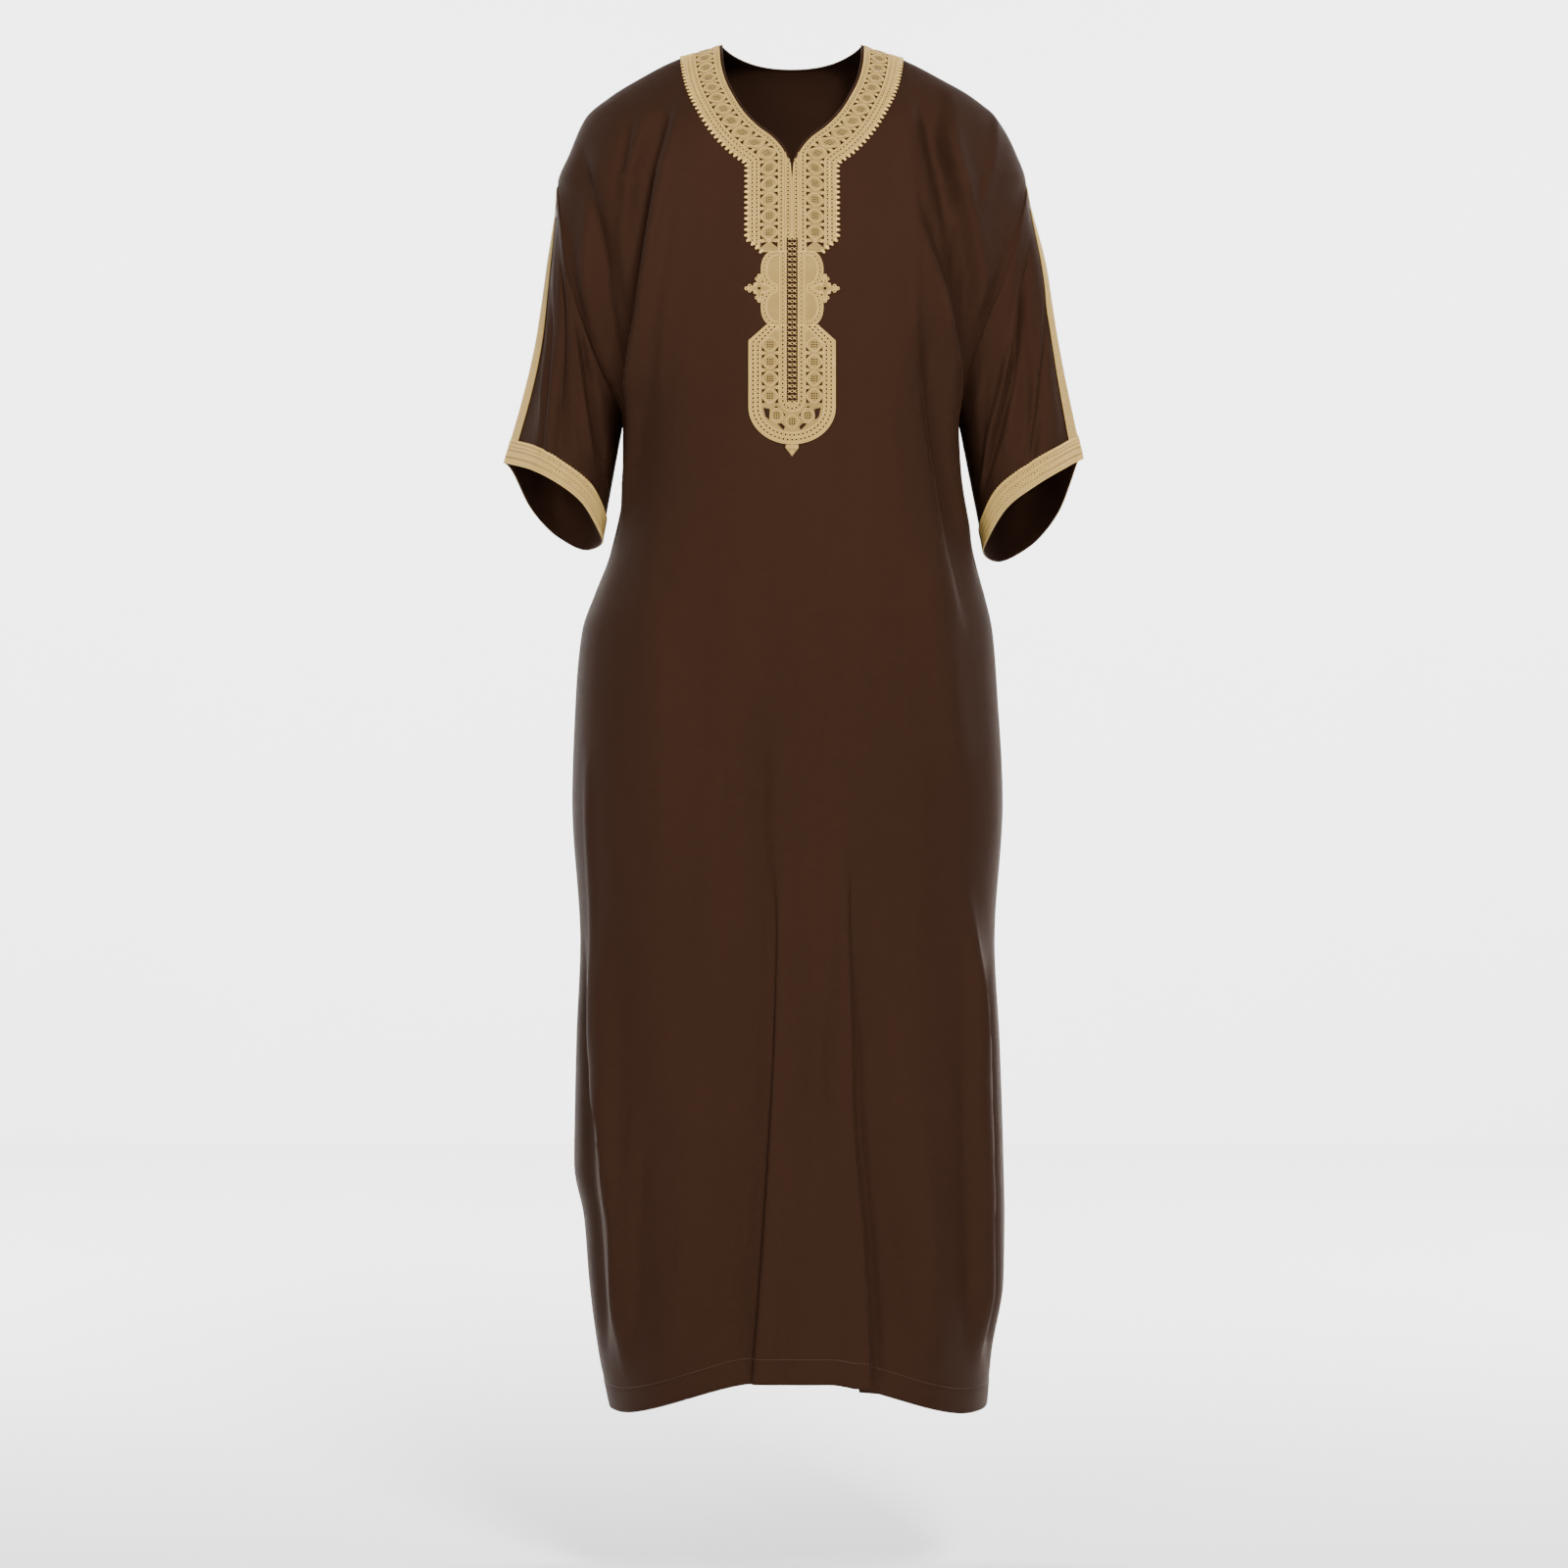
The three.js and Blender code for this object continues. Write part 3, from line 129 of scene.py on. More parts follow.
# Folds: x along the cloth from the centre line at the fold's top and bottom. Troughs are negative.
FOLD_COLUMNS = "top bottom top_x bottom_x width height"
FRONT_FOLDS = table(
    FOLD_COLUMNS,
    (0.060, 0.520, -0.112, -0.206, 0.013, 0.009), (0.070, 0.520, -0.136, -0.238, 0.015, -0.013),
    (0.110, 0.400, -0.205, -0.236, 0.012, 0.008), (0.070, 0.420, 0.158, 0.202, 0.012, 0.009),
    (0.120, 0.560, 0.128, 0.214, 0.014, 0.009), (0.130, 0.560, 0.152, 0.246, 0.013, -0.012),
    (0.500, 0.760, 0.140, 0.172, 0.020, 0.005), (0.620, 1.360, -0.046, -0.066, 0.020, -0.005),
    (0.800, 1.360, 0.076, 0.108, 0.020, -0.005), (0.860, 1.340, 0.196, 0.206, 0.013, 0.008),
    (0.900, 1.350, 0.226, 0.236, 0.014, -0.008), (0.860, 1.350, -0.206, -0.184, 0.015, 0.007),
    (0.880, 1.350, -0.236, -0.214, 0.015, -0.007),
)
# Lesser folds that only the finished cloth has.
FRONT_CREASES = table(
    FOLD_COLUMNS,
    (0.050, 0.400, -0.098, -0.140, 0.006, 0.0016), (0.060, 0.260, -0.104, -0.128, 0.004, -0.0012),
    (0.050, 0.330, 0.116, 0.128, 0.006, 0.0018), (0.080, 0.360, 0.140, 0.150, 0.005, -0.0014),
    (0.120, 0.360, 0.176, 0.150, 0.006, 0.0016), (0.140, 0.380, -0.178, -0.196, 0.006, 0.0020),
    (0.260, 0.620, -0.120, -0.104, 0.018, 0.0012), (0.420, 0.900, -0.150, -0.128, 0.022, 0.0020),
    (0.520, 1.100, -0.095, -0.112, 0.024, -0.0018), (0.480, 0.960, 0.118, 0.132, 0.024, 0.0018),
    (0.640, 1.250, 0.150, 0.162, 0.022, -0.0020), (0.900, 1.300, 0.020, 0.034, 0.010, 0.0016),
    (1.020, 1.350, -0.100, -0.120, 0.016, 0.0024), (1.060, 1.360, 0.132, 0.150, 0.014, 0.0022),
    (1.100, 1.350, -0.150, -0.162, 0.012, -0.0020), (0.960, 1.200, 0.228, 0.216, 0.006, 0.0030),
    (1.120, 1.370, 0.004, -0.008, 0.008, -0.0014), (0.980, 1.340, 0.176, 0.186, 0.008, -0.0024),
    (0.700, 1.050, -0.222, -0.214, 0.008, 0.0030), (1.040, 1.340, -0.160, -0.172, 0.008, 0.0022),
)
BACK_FOLDS = table(
    FOLD_COLUMNS,
    (0.120, 0.620, -0.150, -0.196, 0.015, 0.008), (0.130, 0.640, 0.152, 0.200, 0.015, 0.008),
    (0.150, 0.620, -0.182, -0.226, 0.014, -0.010), (0.150, 0.620, 0.184, 0.230, 0.014, -0.010),
    (0.330, 1.370, -0.062, -0.082, 0.024, 0.008), (0.380, 1.370, 0.070, 0.096, 0.024, 0.008),
    (0.420, 1.370, 0.004, 0.008, 0.030, -0.007), (0.700, 1.370, -0.160, -0.168, 0.022, 0.007),
    (0.720, 1.370, 0.166, 0.176, 0.022, 0.007),
)
BACK_CREASES = table(
    FOLD_COLUMNS,
    (0.060, 0.300, -0.110, -0.128, 0.006, 0.0016), (0.060, 0.320, 0.112, 0.126, 0.006, 0.0017),
    (0.240, 0.700, -0.112, -0.120, 0.016, -0.0022), (0.260, 0.760, 0.118, 0.128, 0.016, -0.0020),
    (0.300, 0.900, -0.024, -0.036, 0.012, 0.0018), (0.500, 1.200, 0.034, 0.046, 0.012, 0.0018),
    (0.800, 1.360, -0.118, -0.126, 0.010, 0.0024), (0.760, 1.360, 0.130, 0.138, 0.010, 0.0022),
    (0.900, 1.360, -0.206, -0.212, 0.009, 0.0030), (0.860, 1.360, 0.212, 0.206, 0.009, 0.0030),
)
# Sharp folds: height, reach of its left and of its right flank, and where its ridge or trough runs, as
# drop and x from top to bottom.
FRONT_SHARP = (
    (0.006, 0.005, 0.030, (
        (0.046, -0.106), (0.090, -0.118), (0.142, -0.132), (0.218, -0.143), (0.278, -0.152),
        (0.340, -0.168), (0.420, -0.198),
    )),
    (-0.010, 0.018, 0.006, (
        (0.052, -0.117), (0.090, -0.129), (0.142, -0.143), (0.218, -0.155), (0.278, -0.164),
        (0.340, -0.180), (0.420, -0.210),
    )),
    (0.005, 0.006, 0.014, (
        (0.066, -0.150), (0.094, -0.153), (0.150, -0.168), (0.214, -0.176), (0.300, -0.180),
    )),
    (-0.004, 0.010, 0.005, ((0.070, -0.161), (0.150, -0.178), (0.214, -0.187), (0.290, -0.190))),
    (-0.011, 0.012, 0.009, (
        (0.100, -0.230), (0.162, -0.210), (0.230, -0.201), (0.286, -0.202), (0.334, -0.210),
        (0.380, -0.226),
    )),
    (0.007, 0.006, 0.022, (
        (0.040, 0.164), (0.106, 0.159), (0.134, 0.164), (0.194, 0.187), (0.242, 0.200), (0.310, 0.206),
    )),
    (-0.010, 0.014, 0.006, (
        (0.050, 0.152), (0.106, 0.147), (0.134, 0.152), (0.194, 0.175), (0.242, 0.189), (0.310, 0.197),
    )),
    (0.005, 0.030, 0.005, (
        (0.150, 0.116), (0.194, 0.127), (0.254, 0.148), (0.302, 0.164), (0.346, 0.187), (0.420, 0.212),
    )),
    (-0.010, 0.006, 0.016, (
        (0.160, 0.129), (0.194, 0.138), (0.254, 0.159), (0.302, 0.175), (0.346, 0.199), (0.420, 0.224),
    )),
    (-0.005, 0.005, 0.011, ((0.056, 0.126), (0.090, 0.134), (0.154, 0.149), (0.205, 0.158))),
    (0.003, 0.004, 0.010, ((0.060, 0.224), (0.102, 0.214), (0.142, 0.204), (0.196, 0.190))),
    (0.004, 0.030, 0.009, (
        (0.260, 0.118), (0.374, 0.132), (0.446, 0.144), (0.514, 0.155), (0.620, 0.178),
    )),
    (-0.005, 0.009, 0.028, (
        (0.280, 0.134), (0.374, 0.147), (0.446, 0.159), (0.514, 0.170), (0.620, 0.194),
    )),
    (-0.003, 0.024, 0.007, (
        (0.640, -0.028), (0.900, -0.029), (1.086, -0.036), (1.200, -0.043), (1.374, -0.058),
    )),
    (-0.006, 0.006, 0.022, (
        (0.900, 0.062), (1.006, 0.070), (1.086, 0.074), (1.200, 0.085), (1.374, 0.096),
    )),
    (0.003, 0.010, 0.006, ((0.860, 0.044), (0.960, 0.034), (1.060, 0.022), (1.140, 0.014))),
    (-0.002, 0.004, 0.006, ((1.040, 0.004), (1.066, 0.014), (1.102, 0.034), (1.124, 0.044))),
    (0.006, 0.014, 0.005, (
        (0.840, 0.186), (0.950, 0.197), (1.050, 0.214), (1.146, 0.211), (1.350, 0.212),
    )),
    (0.006, 0.005, 0.016, (
        (0.880, -0.238), (1.050, -0.216), (1.094, -0.197), (1.198, -0.185), (1.360, -0.181),
    )),
)
BACK_SHARP = (
    (0.005, 0.006, 0.024, ((0.090, -0.128), (0.180, -0.148), (0.300, -0.158), (0.420, -0.190))),
    (-0.008, 0.016, 0.006, ((0.100, -0.140), (0.180, -0.160), (0.300, -0.171), (0.420, -0.203))),
    (0.005, 0.022, 0.006, ((0.080, 0.132), (0.190, 0.146), (0.310, 0.166), (0.430, 0.196))),
    (-0.008, 0.006, 0.014, ((0.090, 0.144), (0.190, 0.158), (0.310, 0.179), (0.430, 0.209))),
    (-0.004, 0.020, 0.008, ((0.560, -0.044), (0.900, -0.052), (1.374, -0.066))),
    (0.004, 0.008, 0.020, ((0.560, 0.050), (0.900, 0.058), (1.374, 0.084))),
    (0.005, 0.012, 0.006, ((0.860, 0.196), (1.100, 0.206), (1.360, 0.208))),
    (0.005, 0.006, 0.014, ((0.820, -0.204), (1.120, -0.198), (1.360, -0.190))),
)
# Folds of the sleeves, by angle round the sleeve and by share of the way from armhole to cuff.
SLEEVE_FOLDS = table(
    "top_angle bottom_angle start end width height",
    (62, 100, 0.04, 0.95, 0.015, -0.006), (30, 60, 0.04, 0.98, 0.015, 0.004),
    (120, 135, 0.02, 0.90, 0.018, 0.004), (292, 262, 0.04, 0.95, 0.016, -0.006),
    (330, 305, 0.04, 0.98, 0.016, 0.004),
    (48, 82, 0.08, 0.80, 0.006, 0.0018), (86, 118, 0.05, 0.85, 0.007, 0.0018),
    (108, 150, 0.10, 0.70, 0.006, -0.0014), (310, 280, 0.10, 0.80, 0.006, 0.0018),
    (250, 235, 0.10, 0.90, 0.008, 0.0016),
)
# Those that only the left or only the right sleeve has.
LEFT_SLEEVE_FOLDS = table(
    "top_angle bottom_angle start end width height",
    (104, 150, 0.02, 0.62, 0.012, -0.0090), (92, 132, 0.04, 0.66, 0.008, 0.0040),
    (40, 64, 0.30, 0.98, 0.006, -0.0030), (58, 80, 0.45, 0.98, 0.005, 0.0024),
    (20, 46, 0.20, 0.80, 0.006, 0.0026), (282, 250, 0.06, 0.70, 0.010, -0.0050),
)
RIGHT_SLEEVE_FOLDS = table(
    "top_angle bottom_angle start end width height",
    (38, 150, 0.10, 0.72, 0.009, -0.0080), (60, 164, 0.12, 0.74, 0.009, 0.0050),
    (30, 100, 0.34, 0.92, 0.007, -0.0034), (44, 112, 0.38, 0.94, 0.007, 0.0026),
    (292, 232, 0.12, 0.76, 0.010, -0.0055), (318, 290, 0.20, 0.90, 0.006, 0.0026),
)

# Layout of the embroidery, measured out from the neckline or from the slit
ROLL = 0.002  # cloth that shows between the neckline and the braid
ROLL_RADIUS = 0.0011  # radius of the rolled edge of the neckline
ROLL_LIFT = -0.0004  # height of its middle over the cloth
BAND = 0.037  # width of the braid round the neck
ROSETTE_AT = 0.0155  # distance of the row of rosettes from the braid's inner edge
ROSETTE_PITCH = 0.0174  # distance between rosettes
PLACKET_SHIFT = 0.0075  # the braid's inner edge lies this far from the slit where it runs straight
PLACKET_HALF = 0.044  # half width of the straight part
PLACKET_FOOT = 0.2279  # drop of its lower end
ROSETTES_END = 0.2170  # drop of the end of its row of rosettes
BACK_BAND_DROP = 0.050  # drop of the outer edge of the braid at the centre back
PEG_PITCH = 0.0057  # distance between the pegs that stand out from the braid's edge
EYELET_PITCH = 0.0043
EYELET_HOLE = 0.0011  # radius of an eyelet's hole
SMALL_HOLE = 0.0008  # radius of those of the lobes and cuffs
DOT_PITCH = 0.0023  # distance between the nine small holes of a rosette
DOT_HOLE = 0.00085  # and their radius
PLATE_LOW = 0.0003  # the worked ground lies this far above the cloth
PLATE_HIGH = 0.0009  # height of its top
THREAD_LIFT = 0.0010  # height of the middle of the threads on it
PATH_STEP = 0.0015  # distance between the points of a path that threads follow
SCALLOP_TOP = 0.228
SCALLOP_END = 0.302
SCALLOP_CENTRES = (0.2465, 0.2835)
SCALLOP_RADIUS = 0.0183
SCALLOP_OUT = 0.031  # reach of a lobe from the centre line
SCALLOP_NOTCH = 0.0205  # reach of the notch between two lobes
STAR_AT = (0.0325, 0.265)  # middle of the small star beside the notch, as x and drop
STAR_BODY = 0.0055
STAR_ARM = 0.0125
STAR_ROOT = 0.014  # length of the broad root that joins it to the lobes
LATTICE_HALF = 0.005
LATTICE_TOP = 0.214
LATTICE_END = 0.378
CARTOUCHE_TOP = 0.302
CARTOUCHE_NECK = 0.026
CARTOUCHE_SHOULDER = 0.317
CARTOUCHE_HALF = 0.043
CARTOUCHE_ROUND = 0.383  # drop where the rounded end begins
CARTOUCHE_BOTTOM = 0.420
CARTOUCHE_TIP = 0.432
CARTOUCHE_ROSETTES = (0.321, 0.338, 0.355, 0.372)  # drops of the rosettes of each side column
CARTOUCHE_STEP = 0.0085  # half the distance between two of them
CARTOUCHE_COLUMN = 0.0218  # distance of that column from the centre line
CARTOUCHE_FOOT = ((-0.0153, 0.3915), (0.0, 0.3975), (0.0153, 0.3915))  # its three lower rosettes
STRIP_CORDS = (0.0062, 0.0122)  # distances of the strip beside the lattice from the centre line
STRIP_EYELETS = 0.0092
STRIP_TURN = 0.3755  # drop where the strip begins to turn under the lattice
# Dark openings between the lower rosettes and at the top, on the right half, as x and drop.
CARTOUCHE_OPENINGS = (
    ((0.0062, 0.3907), (0.0096, 0.3880), (0.0088, 0.3928)),
    ((0.0068, 0.4025), (0.0104, 0.3990), (0.0148, 0.3995), (0.0086, 0.4060)),
    ((0.0218, 0.3850), (0.0285, 0.3835), (0.0264, 0.3925), (0.0226, 0.3960)),
    ((0.0128, 0.3838), (0.0162, 0.3818), (0.0176, 0.3838)),
    ((0.0142, 0.3080), (0.0182, 0.3122), (0.0142, 0.3158)),
)

# Threads: the distance from one to the next, then length, width and height.
CORD = (0.0017, 0.0023, 0.0012, 0.0011)
ROSETTE_CORD = (0.0015, 0.0019, 0.0013, 0.0012)
PEG = (PEG_PITCH, 0.0054, 0.0034, 0.0022)
LATTICE_LEAN = (0.0052, 0.0062, 0.0009, 0.0009)
LATTICE_BACK = (0.0052, 0.0062, 0.0006, 0.0007)
CUFF_RUNG = (0.0026, 0.0048, 0.0014, 0.0012)
CUFF_LEAN = (0.0034, 0.0108, 0.0011, 0.0011)
CUFF_BACK = (0.0034, 0.0108, 0.0011, 0.0010)
CUFF_PEG = (0.0036, 0.0030, 0.0018, 0.0013)
STRIPE_EDGE = (0.0024, 0.0026, 0.0017, 0.0014)
STRIPE_CORD = (0.0018, 0.0024, 0.0011, 0.0010)
STRIPE_ZIGZAG = (0.0030, 0.0044, 0.0011, 0.0011)
HEM_STITCH = (0.0034, 0.0026, 0.0006, 0.0006)
# Rings: radius of the ring and of its thread.
EYELET_RING = (0.00145, 0.00042)
SMALL_RING = (0.0014, 0.00055)
# Studio
FLOOR_LEVEL = -1.56
FLOOR_HALF = 9
WORLD_LIGHT = 0.14
# Lamps: name, place, what it points at, power and size.
LAMPS = (
    ("front_light", (0.9, -3.3, 1.9), (0, 0, -0.5), 320, 0.9),
    ("fill_light", (-1.6, -3.6, 0.4), (0, 0, -0.7), 90, 1.4),
    ("backdrop_left", (-2.6, 1.4, 1.4), (-1.3, 5, -0.6), 420, 1.8),
    ("backdrop_right", (2.6, 1.4, 1.4), (1.3, 5, -0.6), 420, 1.8),
)
CAMERA_PLACE = (-0.008, -4.2, -0.755)
CAMERA_LENS = 94.5
CAMERA_SENSOR = 36


def lerp(a, b, t):
    return a + (b - a) * t


def smooth(t):
    """Smooth step from 0 to 1."""
    t = np.clip(t, 0, 1)
    return t * t * (3 - 2 * t)


def curve(keys, values):
    """A smooth curve through a table's values that doesn't overshoot them."""
    slope = np.diff(values) / np.diff(keys)
    product = slope[:-1] * slope[1:]
    total = np.where(product > 0, slope[:-1] + slope[1:], 1)
    inner = np.where(product > 0, 2 * product / total, 0)
    tangent = np.concatenate([slope[:1], inner, slope[-1:]])

    def at(where):
        x = np.clip(where, keys[0], keys[-1])
        i = np.clip(np.searchsorted(keys, x) - 1, 0, len(keys) - 2)
        span = keys[i + 1] - keys[i]
        t = (x - keys[i]) / span
        level = values[i] * (2 * t**3 - 3 * t**2 + 1) + values[i + 1] * (3 * t**2 - 2 * t**3)
        lean = tangent[i] * (t**3 - 2 * t**2 + t) + tangent[i + 1] * (t**3 - t**2)
        return level + span * lean

    return at


LEFT_EDGE = curve(EDGE["drop"], EDGE["left"])
RIGHT_EDGE = curve(EDGE["drop"], EDGE["right"])
TORSO_AT = {name: curve(TORSO["drop"], TORSO[name]) for name in TORSO if name != "drop"}
BOX_AT = {name: curve(BOX_FOLD["drop"], BOX_FOLD[name]) for name in BOX_FOLD if name != "drop"}
NECK_DROP = curve(NECKLINE["x"][::-1], NECKLINE["drop"][::-1])

FRONT = dict(
    sign=-1, depth="front", folds=[FRONT_FOLDS, FRONT_CREASES], sharp=FRONT_SHARP, armhole=0.066
)
BACK = dict(sign=1, depth="back", folds=[BACK_FOLDS, BACK_CREASES], sharp=BACK_SHARP, armhole=0.070)
LEFT = -1
RIGHT = 1
BOW = {LEFT: -0.012, RIGHT: -0.004}  # how far a sleeve's outer line bends outwards


# The cut and drape of the body
def edge_at(side, drop):
    return np.where(side < 0, LEFT_EDGE(drop), RIGHT_EDGE(drop))


def half_width(side, drop, share):
    """Half width of the body, evened out near the underarm away from its edges."""
    edge = edge_at(side, drop)
    even = (edge_at(side, drop - EVEN_OUT) + 2 * edge + edge_at(side, drop + EVEN_OUT)) / 4
    inside = 1 - smooth((share - 0.3) / 0.7)
    return lerp(edge, even, inside * smooth((drop - SHOULDER_TIP) / 0.1))


def armhole_reach(panel, drop):
    """How far the armhole has opened in front of or behind the side seam."""
    share = np.clip((drop - SHOULDER_TIP) / (UNDERARM - SHOULDER_TIP), 0, 1)
    return panel["armhole"] * np.sin(np.arccos(1 - 2 * share))


def section(panel, side, drop, share):
    """The plain section of a panel: distance from the centre line, and Y."""
    seam = TORSO_AT["seam"](drop)
    depth = TORSO_AT[panel["depth"]](drop) - panel["sign"] * seam
    curved = np.clip(1 - share ** TORSO_AT["square"](drop), 0, 1)
    profile = curved ** TORSO_AT["round"](drop)
    opened = armhole_reach(panel, drop) * smooth((share - 0.45) / 0.5)
    reach = np.sqrt(np.hypot((depth * profile) ** 2, opened**2))
    return share * half_width(side, drop, share), seam + panel["sign"] * reach


SHARES = 1 - (1 - np.linspace(0, 1, 61)) ** 2.5


def spread(panel, side, drop):
    """Half sections at many drops: distances from the centre line, and lengths along the cloth."""
    x, y = section(panel, side[:, None], drop[:, None], SHARES[None])
    steps = np.hypot(np.diff(x, axis=1), np.diff(y, axis=1))
    return x, np.concatenate([np.zeros((len(drop), 1)), np.cumsum(steps, axis=1)], axis=1)


def look_up(known, wanted, value):
    """For each row, the place of a value in one array, read from another."""
    n = np.arange(len(value))
    i = np.clip((known < value[:, None]).sum(axis=1) - 1, 0, known.shape[1] - 2)
    low, high = known[n, i], known[n, i + 1]
    t = np.clip((value - low) / np.maximum(high - low, 1e-9), 0, 1)
    return lerp(wanted[n, i], wanted[n, i + 1], t)


GIRTH_DROPS = np.linspace(0, 1.39, 900)


def girth_curve(panel, side):
    lengths = spread(panel, np.full(len(GIRTH_DROPS), side), GIRTH_DROPS)[1]
    return lengths[:, -1]


GIRTHS = {(p["depth"], s): girth_curve(p, s) for p in (FRONT, BACK) for s in (LEFT, RIGHT)}


def girth(panel, side, drop):
    left = np.interp(drop, GIRTH_DROPS, GIRTHS[panel["depth"], LEFT])
    right = np.interp(drop, GIRTH_DROPS, GIRTHS[panel["depth"], RIGHT])
    return np.where(side < 0, left, right)


def ripple(panel, drop, x):
    """Slight unevenness of the whole cloth."""
    turn = 1.7 if panel is BACK else 0.0
    slow = np.sin(31 * x + 5.3 * drop + turn) * np.sin(4.1 * drop + 1.3 + turn)
    quick = np.sin(74 * x - 7.9 * drop + 0.6 + turn) * np.sin(9.7 * drop + 12 * x + turn)
    return (0.0011 * slow + 0.0005 * quick) * smooth((drop - 0.05) / 0.3)


def sharp_height(folds, drop, x):
    """Height of the sharp folds, whose two flanks differ."""
    total = 0
    for height, left, right, line in folds:
        drops, places = np.array(line).T
        off = x - np.interp(drop, drops, places)
        t = np.abs(np.where(off < 0, off / left, off / right))
        along = (drop - drops[0]) / (drops[-1] - drops[0])
        ends = smooth(along * 5) * smooth((1 - along) * 5)
        total = total + ends * height * np.exp(-(t**1.6))
    return total


def fold_height(panel, drop, x):
    """Height of the folds at a place on a panel. They fade out towards its seams."""
    inside = girth(panel, np.sign(x), drop) - np.abs(x)
    total = ripple(panel, drop, x) + sharp_height(panel["sharp"], drop, x)
    for folds in panel["folds"]:
        for top, bottom, top_x, bottom_x, width, height in zip(*folds.values()):
            along = (drop - top) / (bottom - top)
            across = (x - lerp(top_x, bottom_x, along)) / width
            ends = smooth(along * 4) * smooth((1 - along) * 6)
            total = total + ends * height * np.exp(-across * across)
    dip = -SEAM_DIP * np.exp(-((inside / 0.0018) ** 2))
    ridge = SEAM_RIDGE * np.exp(-(((inside - 0.006) / 0.003) ** 2))
    return total * smooth(inside / FOLD_FADE) + dip + ridge


def hem_drop(panel, x):
    """Drop of the hem at a distance along the cloth from the centre line."""
    if panel is BACK:
        return np.full(np.shape(x), HEM_SIDE)
    side = np.abs(x) / 0.190
    return lerp(HEM_CENTRE, HEM_SIDE, smooth((side - 0.2) / 0.85) ** 0.8)


def hem_relief(panel, drop, x):
    """The turned-up hem stands out, with a stitched line along its top."""
    above = hem_drop(panel, x) - drop - HEM_TURN
    return 0.0004 * smooth(0.5 - above / 0.004) - 0.0005 * np.exp(-((above / 0.0016) ** 2))


def box_edges(drop):
    """The box fold at a drop: half width of a turned edge, how far it laps, and the edges' places."""
    half = BOX_AT["half"](drop)
    lapped = (BOX_AT["lap"](drop) + half) / 2 * smooth(BOX_AT["forward"](drop) / BOX_SHARP)
    left = BOX_AT["left"](drop) + lapped - half / 2
    right = BOX_AT["right"](drop) - lapped + half / 2
    return half, lapped, left, right


def box_shift(drop, x):
    """The box fold moves the front's cloth sideways and forward, so that its edges lap."""
    half, lapped, left, right = box_edges(drop)
    sideways = 0
    rises = []
    for edge in (left, right):
        t = (x - edge) / half
        sideways = sideways - np.where(np.abs(t) < 1, lapped * np.sin(np.pi * t), 0)
        rises.append(smooth((t + 1) / 2))
    return sideways, BOX_AT["forward"](drop) * (rises[0] - rises[1])


def panel_point(panel, drop, x, lift=0.0):
    """Points on the outside of a panel, x along the cloth from the centre line."""
    drop, x = np.broadcast_arrays(np.asarray(drop, float), np.asarray(x, float))
    shape = drop.shape
    drop, x = drop.ravel(), x.ravel()
    side = np.where(x < 0, LEFT, RIGHT)
    lengths = spread(panel, side, drop)[1]
    shares = np.broadcast_to(SHARES, lengths.shape)
    end = lengths[:, -1]

    def plain(at):
        share = look_up(lengths, shares, np.minimum(np.abs(at), end))
        px, py = section(panel, side, drop, share)
        return np.where(at < 0, -px, px), py

    step = 0.0015
    px, py = plain(x)
    ax, ay = plain(x - step)
    bx, by = plain(x + step)
    long = np.maximum(np.hypot(bx - ax, by - ay), 1e-9)
    height = fold_height(panel, drop, x) + hem_relief(panel, drop, x) + lift
    sign = panel["sign"]
    shift = box_shift(drop, x) if panel is FRONT else (0, 0)
    points = np.stack(
        [
            px - sign * (by - ay) / long * height + shift[0],
            py + sign * (bx - ax) / long * height - shift[1],
            -drop,
        ],
        axis=-1,
    )
    return points.reshape(*shape, 3)


def column_places(panel, drop):
    """Places of a panel's columns along the cloth, for an array of drops."""
    left = -girth(panel, LEFT, drop)
    right = girth(panel, RIGHT, drop)
    if panel is BACK:
        return [(left, 60), (0 * drop, 60), (right, 0)]
    half, _, fold_left, fold_right = box_edges(drop)
    slit = 0 * drop + SLIT_HALF
    return [
        (left, 62), (fold_left - half, 12), (fold_left + half, 5), (-slit, 1), (slit, 9),
        (fold_right - half, 12), (fold_right + half, 60), (right, 0),
    ]


def all_places(panel, drop):
    """The same as one array with a column for each place."""
    anchors = column_places(panel, drop)
    places = []
    for (start, count), (end, _) in zip(anchors, anchors[1:]):
        places += [lerp(start, end, i / count) for i in range(count)]
    return np.stack([*places, anchors[-1][0]], axis=-1)


def top_line(panel, side):
    """Points down the neckline and along the shoulder seam, as x and drop."""
    turn = np.sin(np.linspace(0, math.pi / 2, 60))
    if panel is FRONT:
        x = lerp(SLIT_HALF, NECK_HALF, turn)
        drop = NECK_DROP(x)
    else:
        x = NECK_HALF * turn
        drop = BACK_NECK * (1 - (x / NECK_HALF) ** 2.2)
    seam = SHOULDER_TIP * (np.arange(1, 61) / 60) ** 1.5
    return np.concatenate([x, edge_at(side, seam)]), np.concatenate([drop, seam])


def line_lengths(*axes):
    steps = np.sqrt(sum(np.diff(axis) ** 2 for axis in axes))
    return np.concatenate([[0], np.cumsum(steps)])


ARMHOLE_ROWS = 64
SKIRT_ROWS = 112
HEM_ROWS = 8


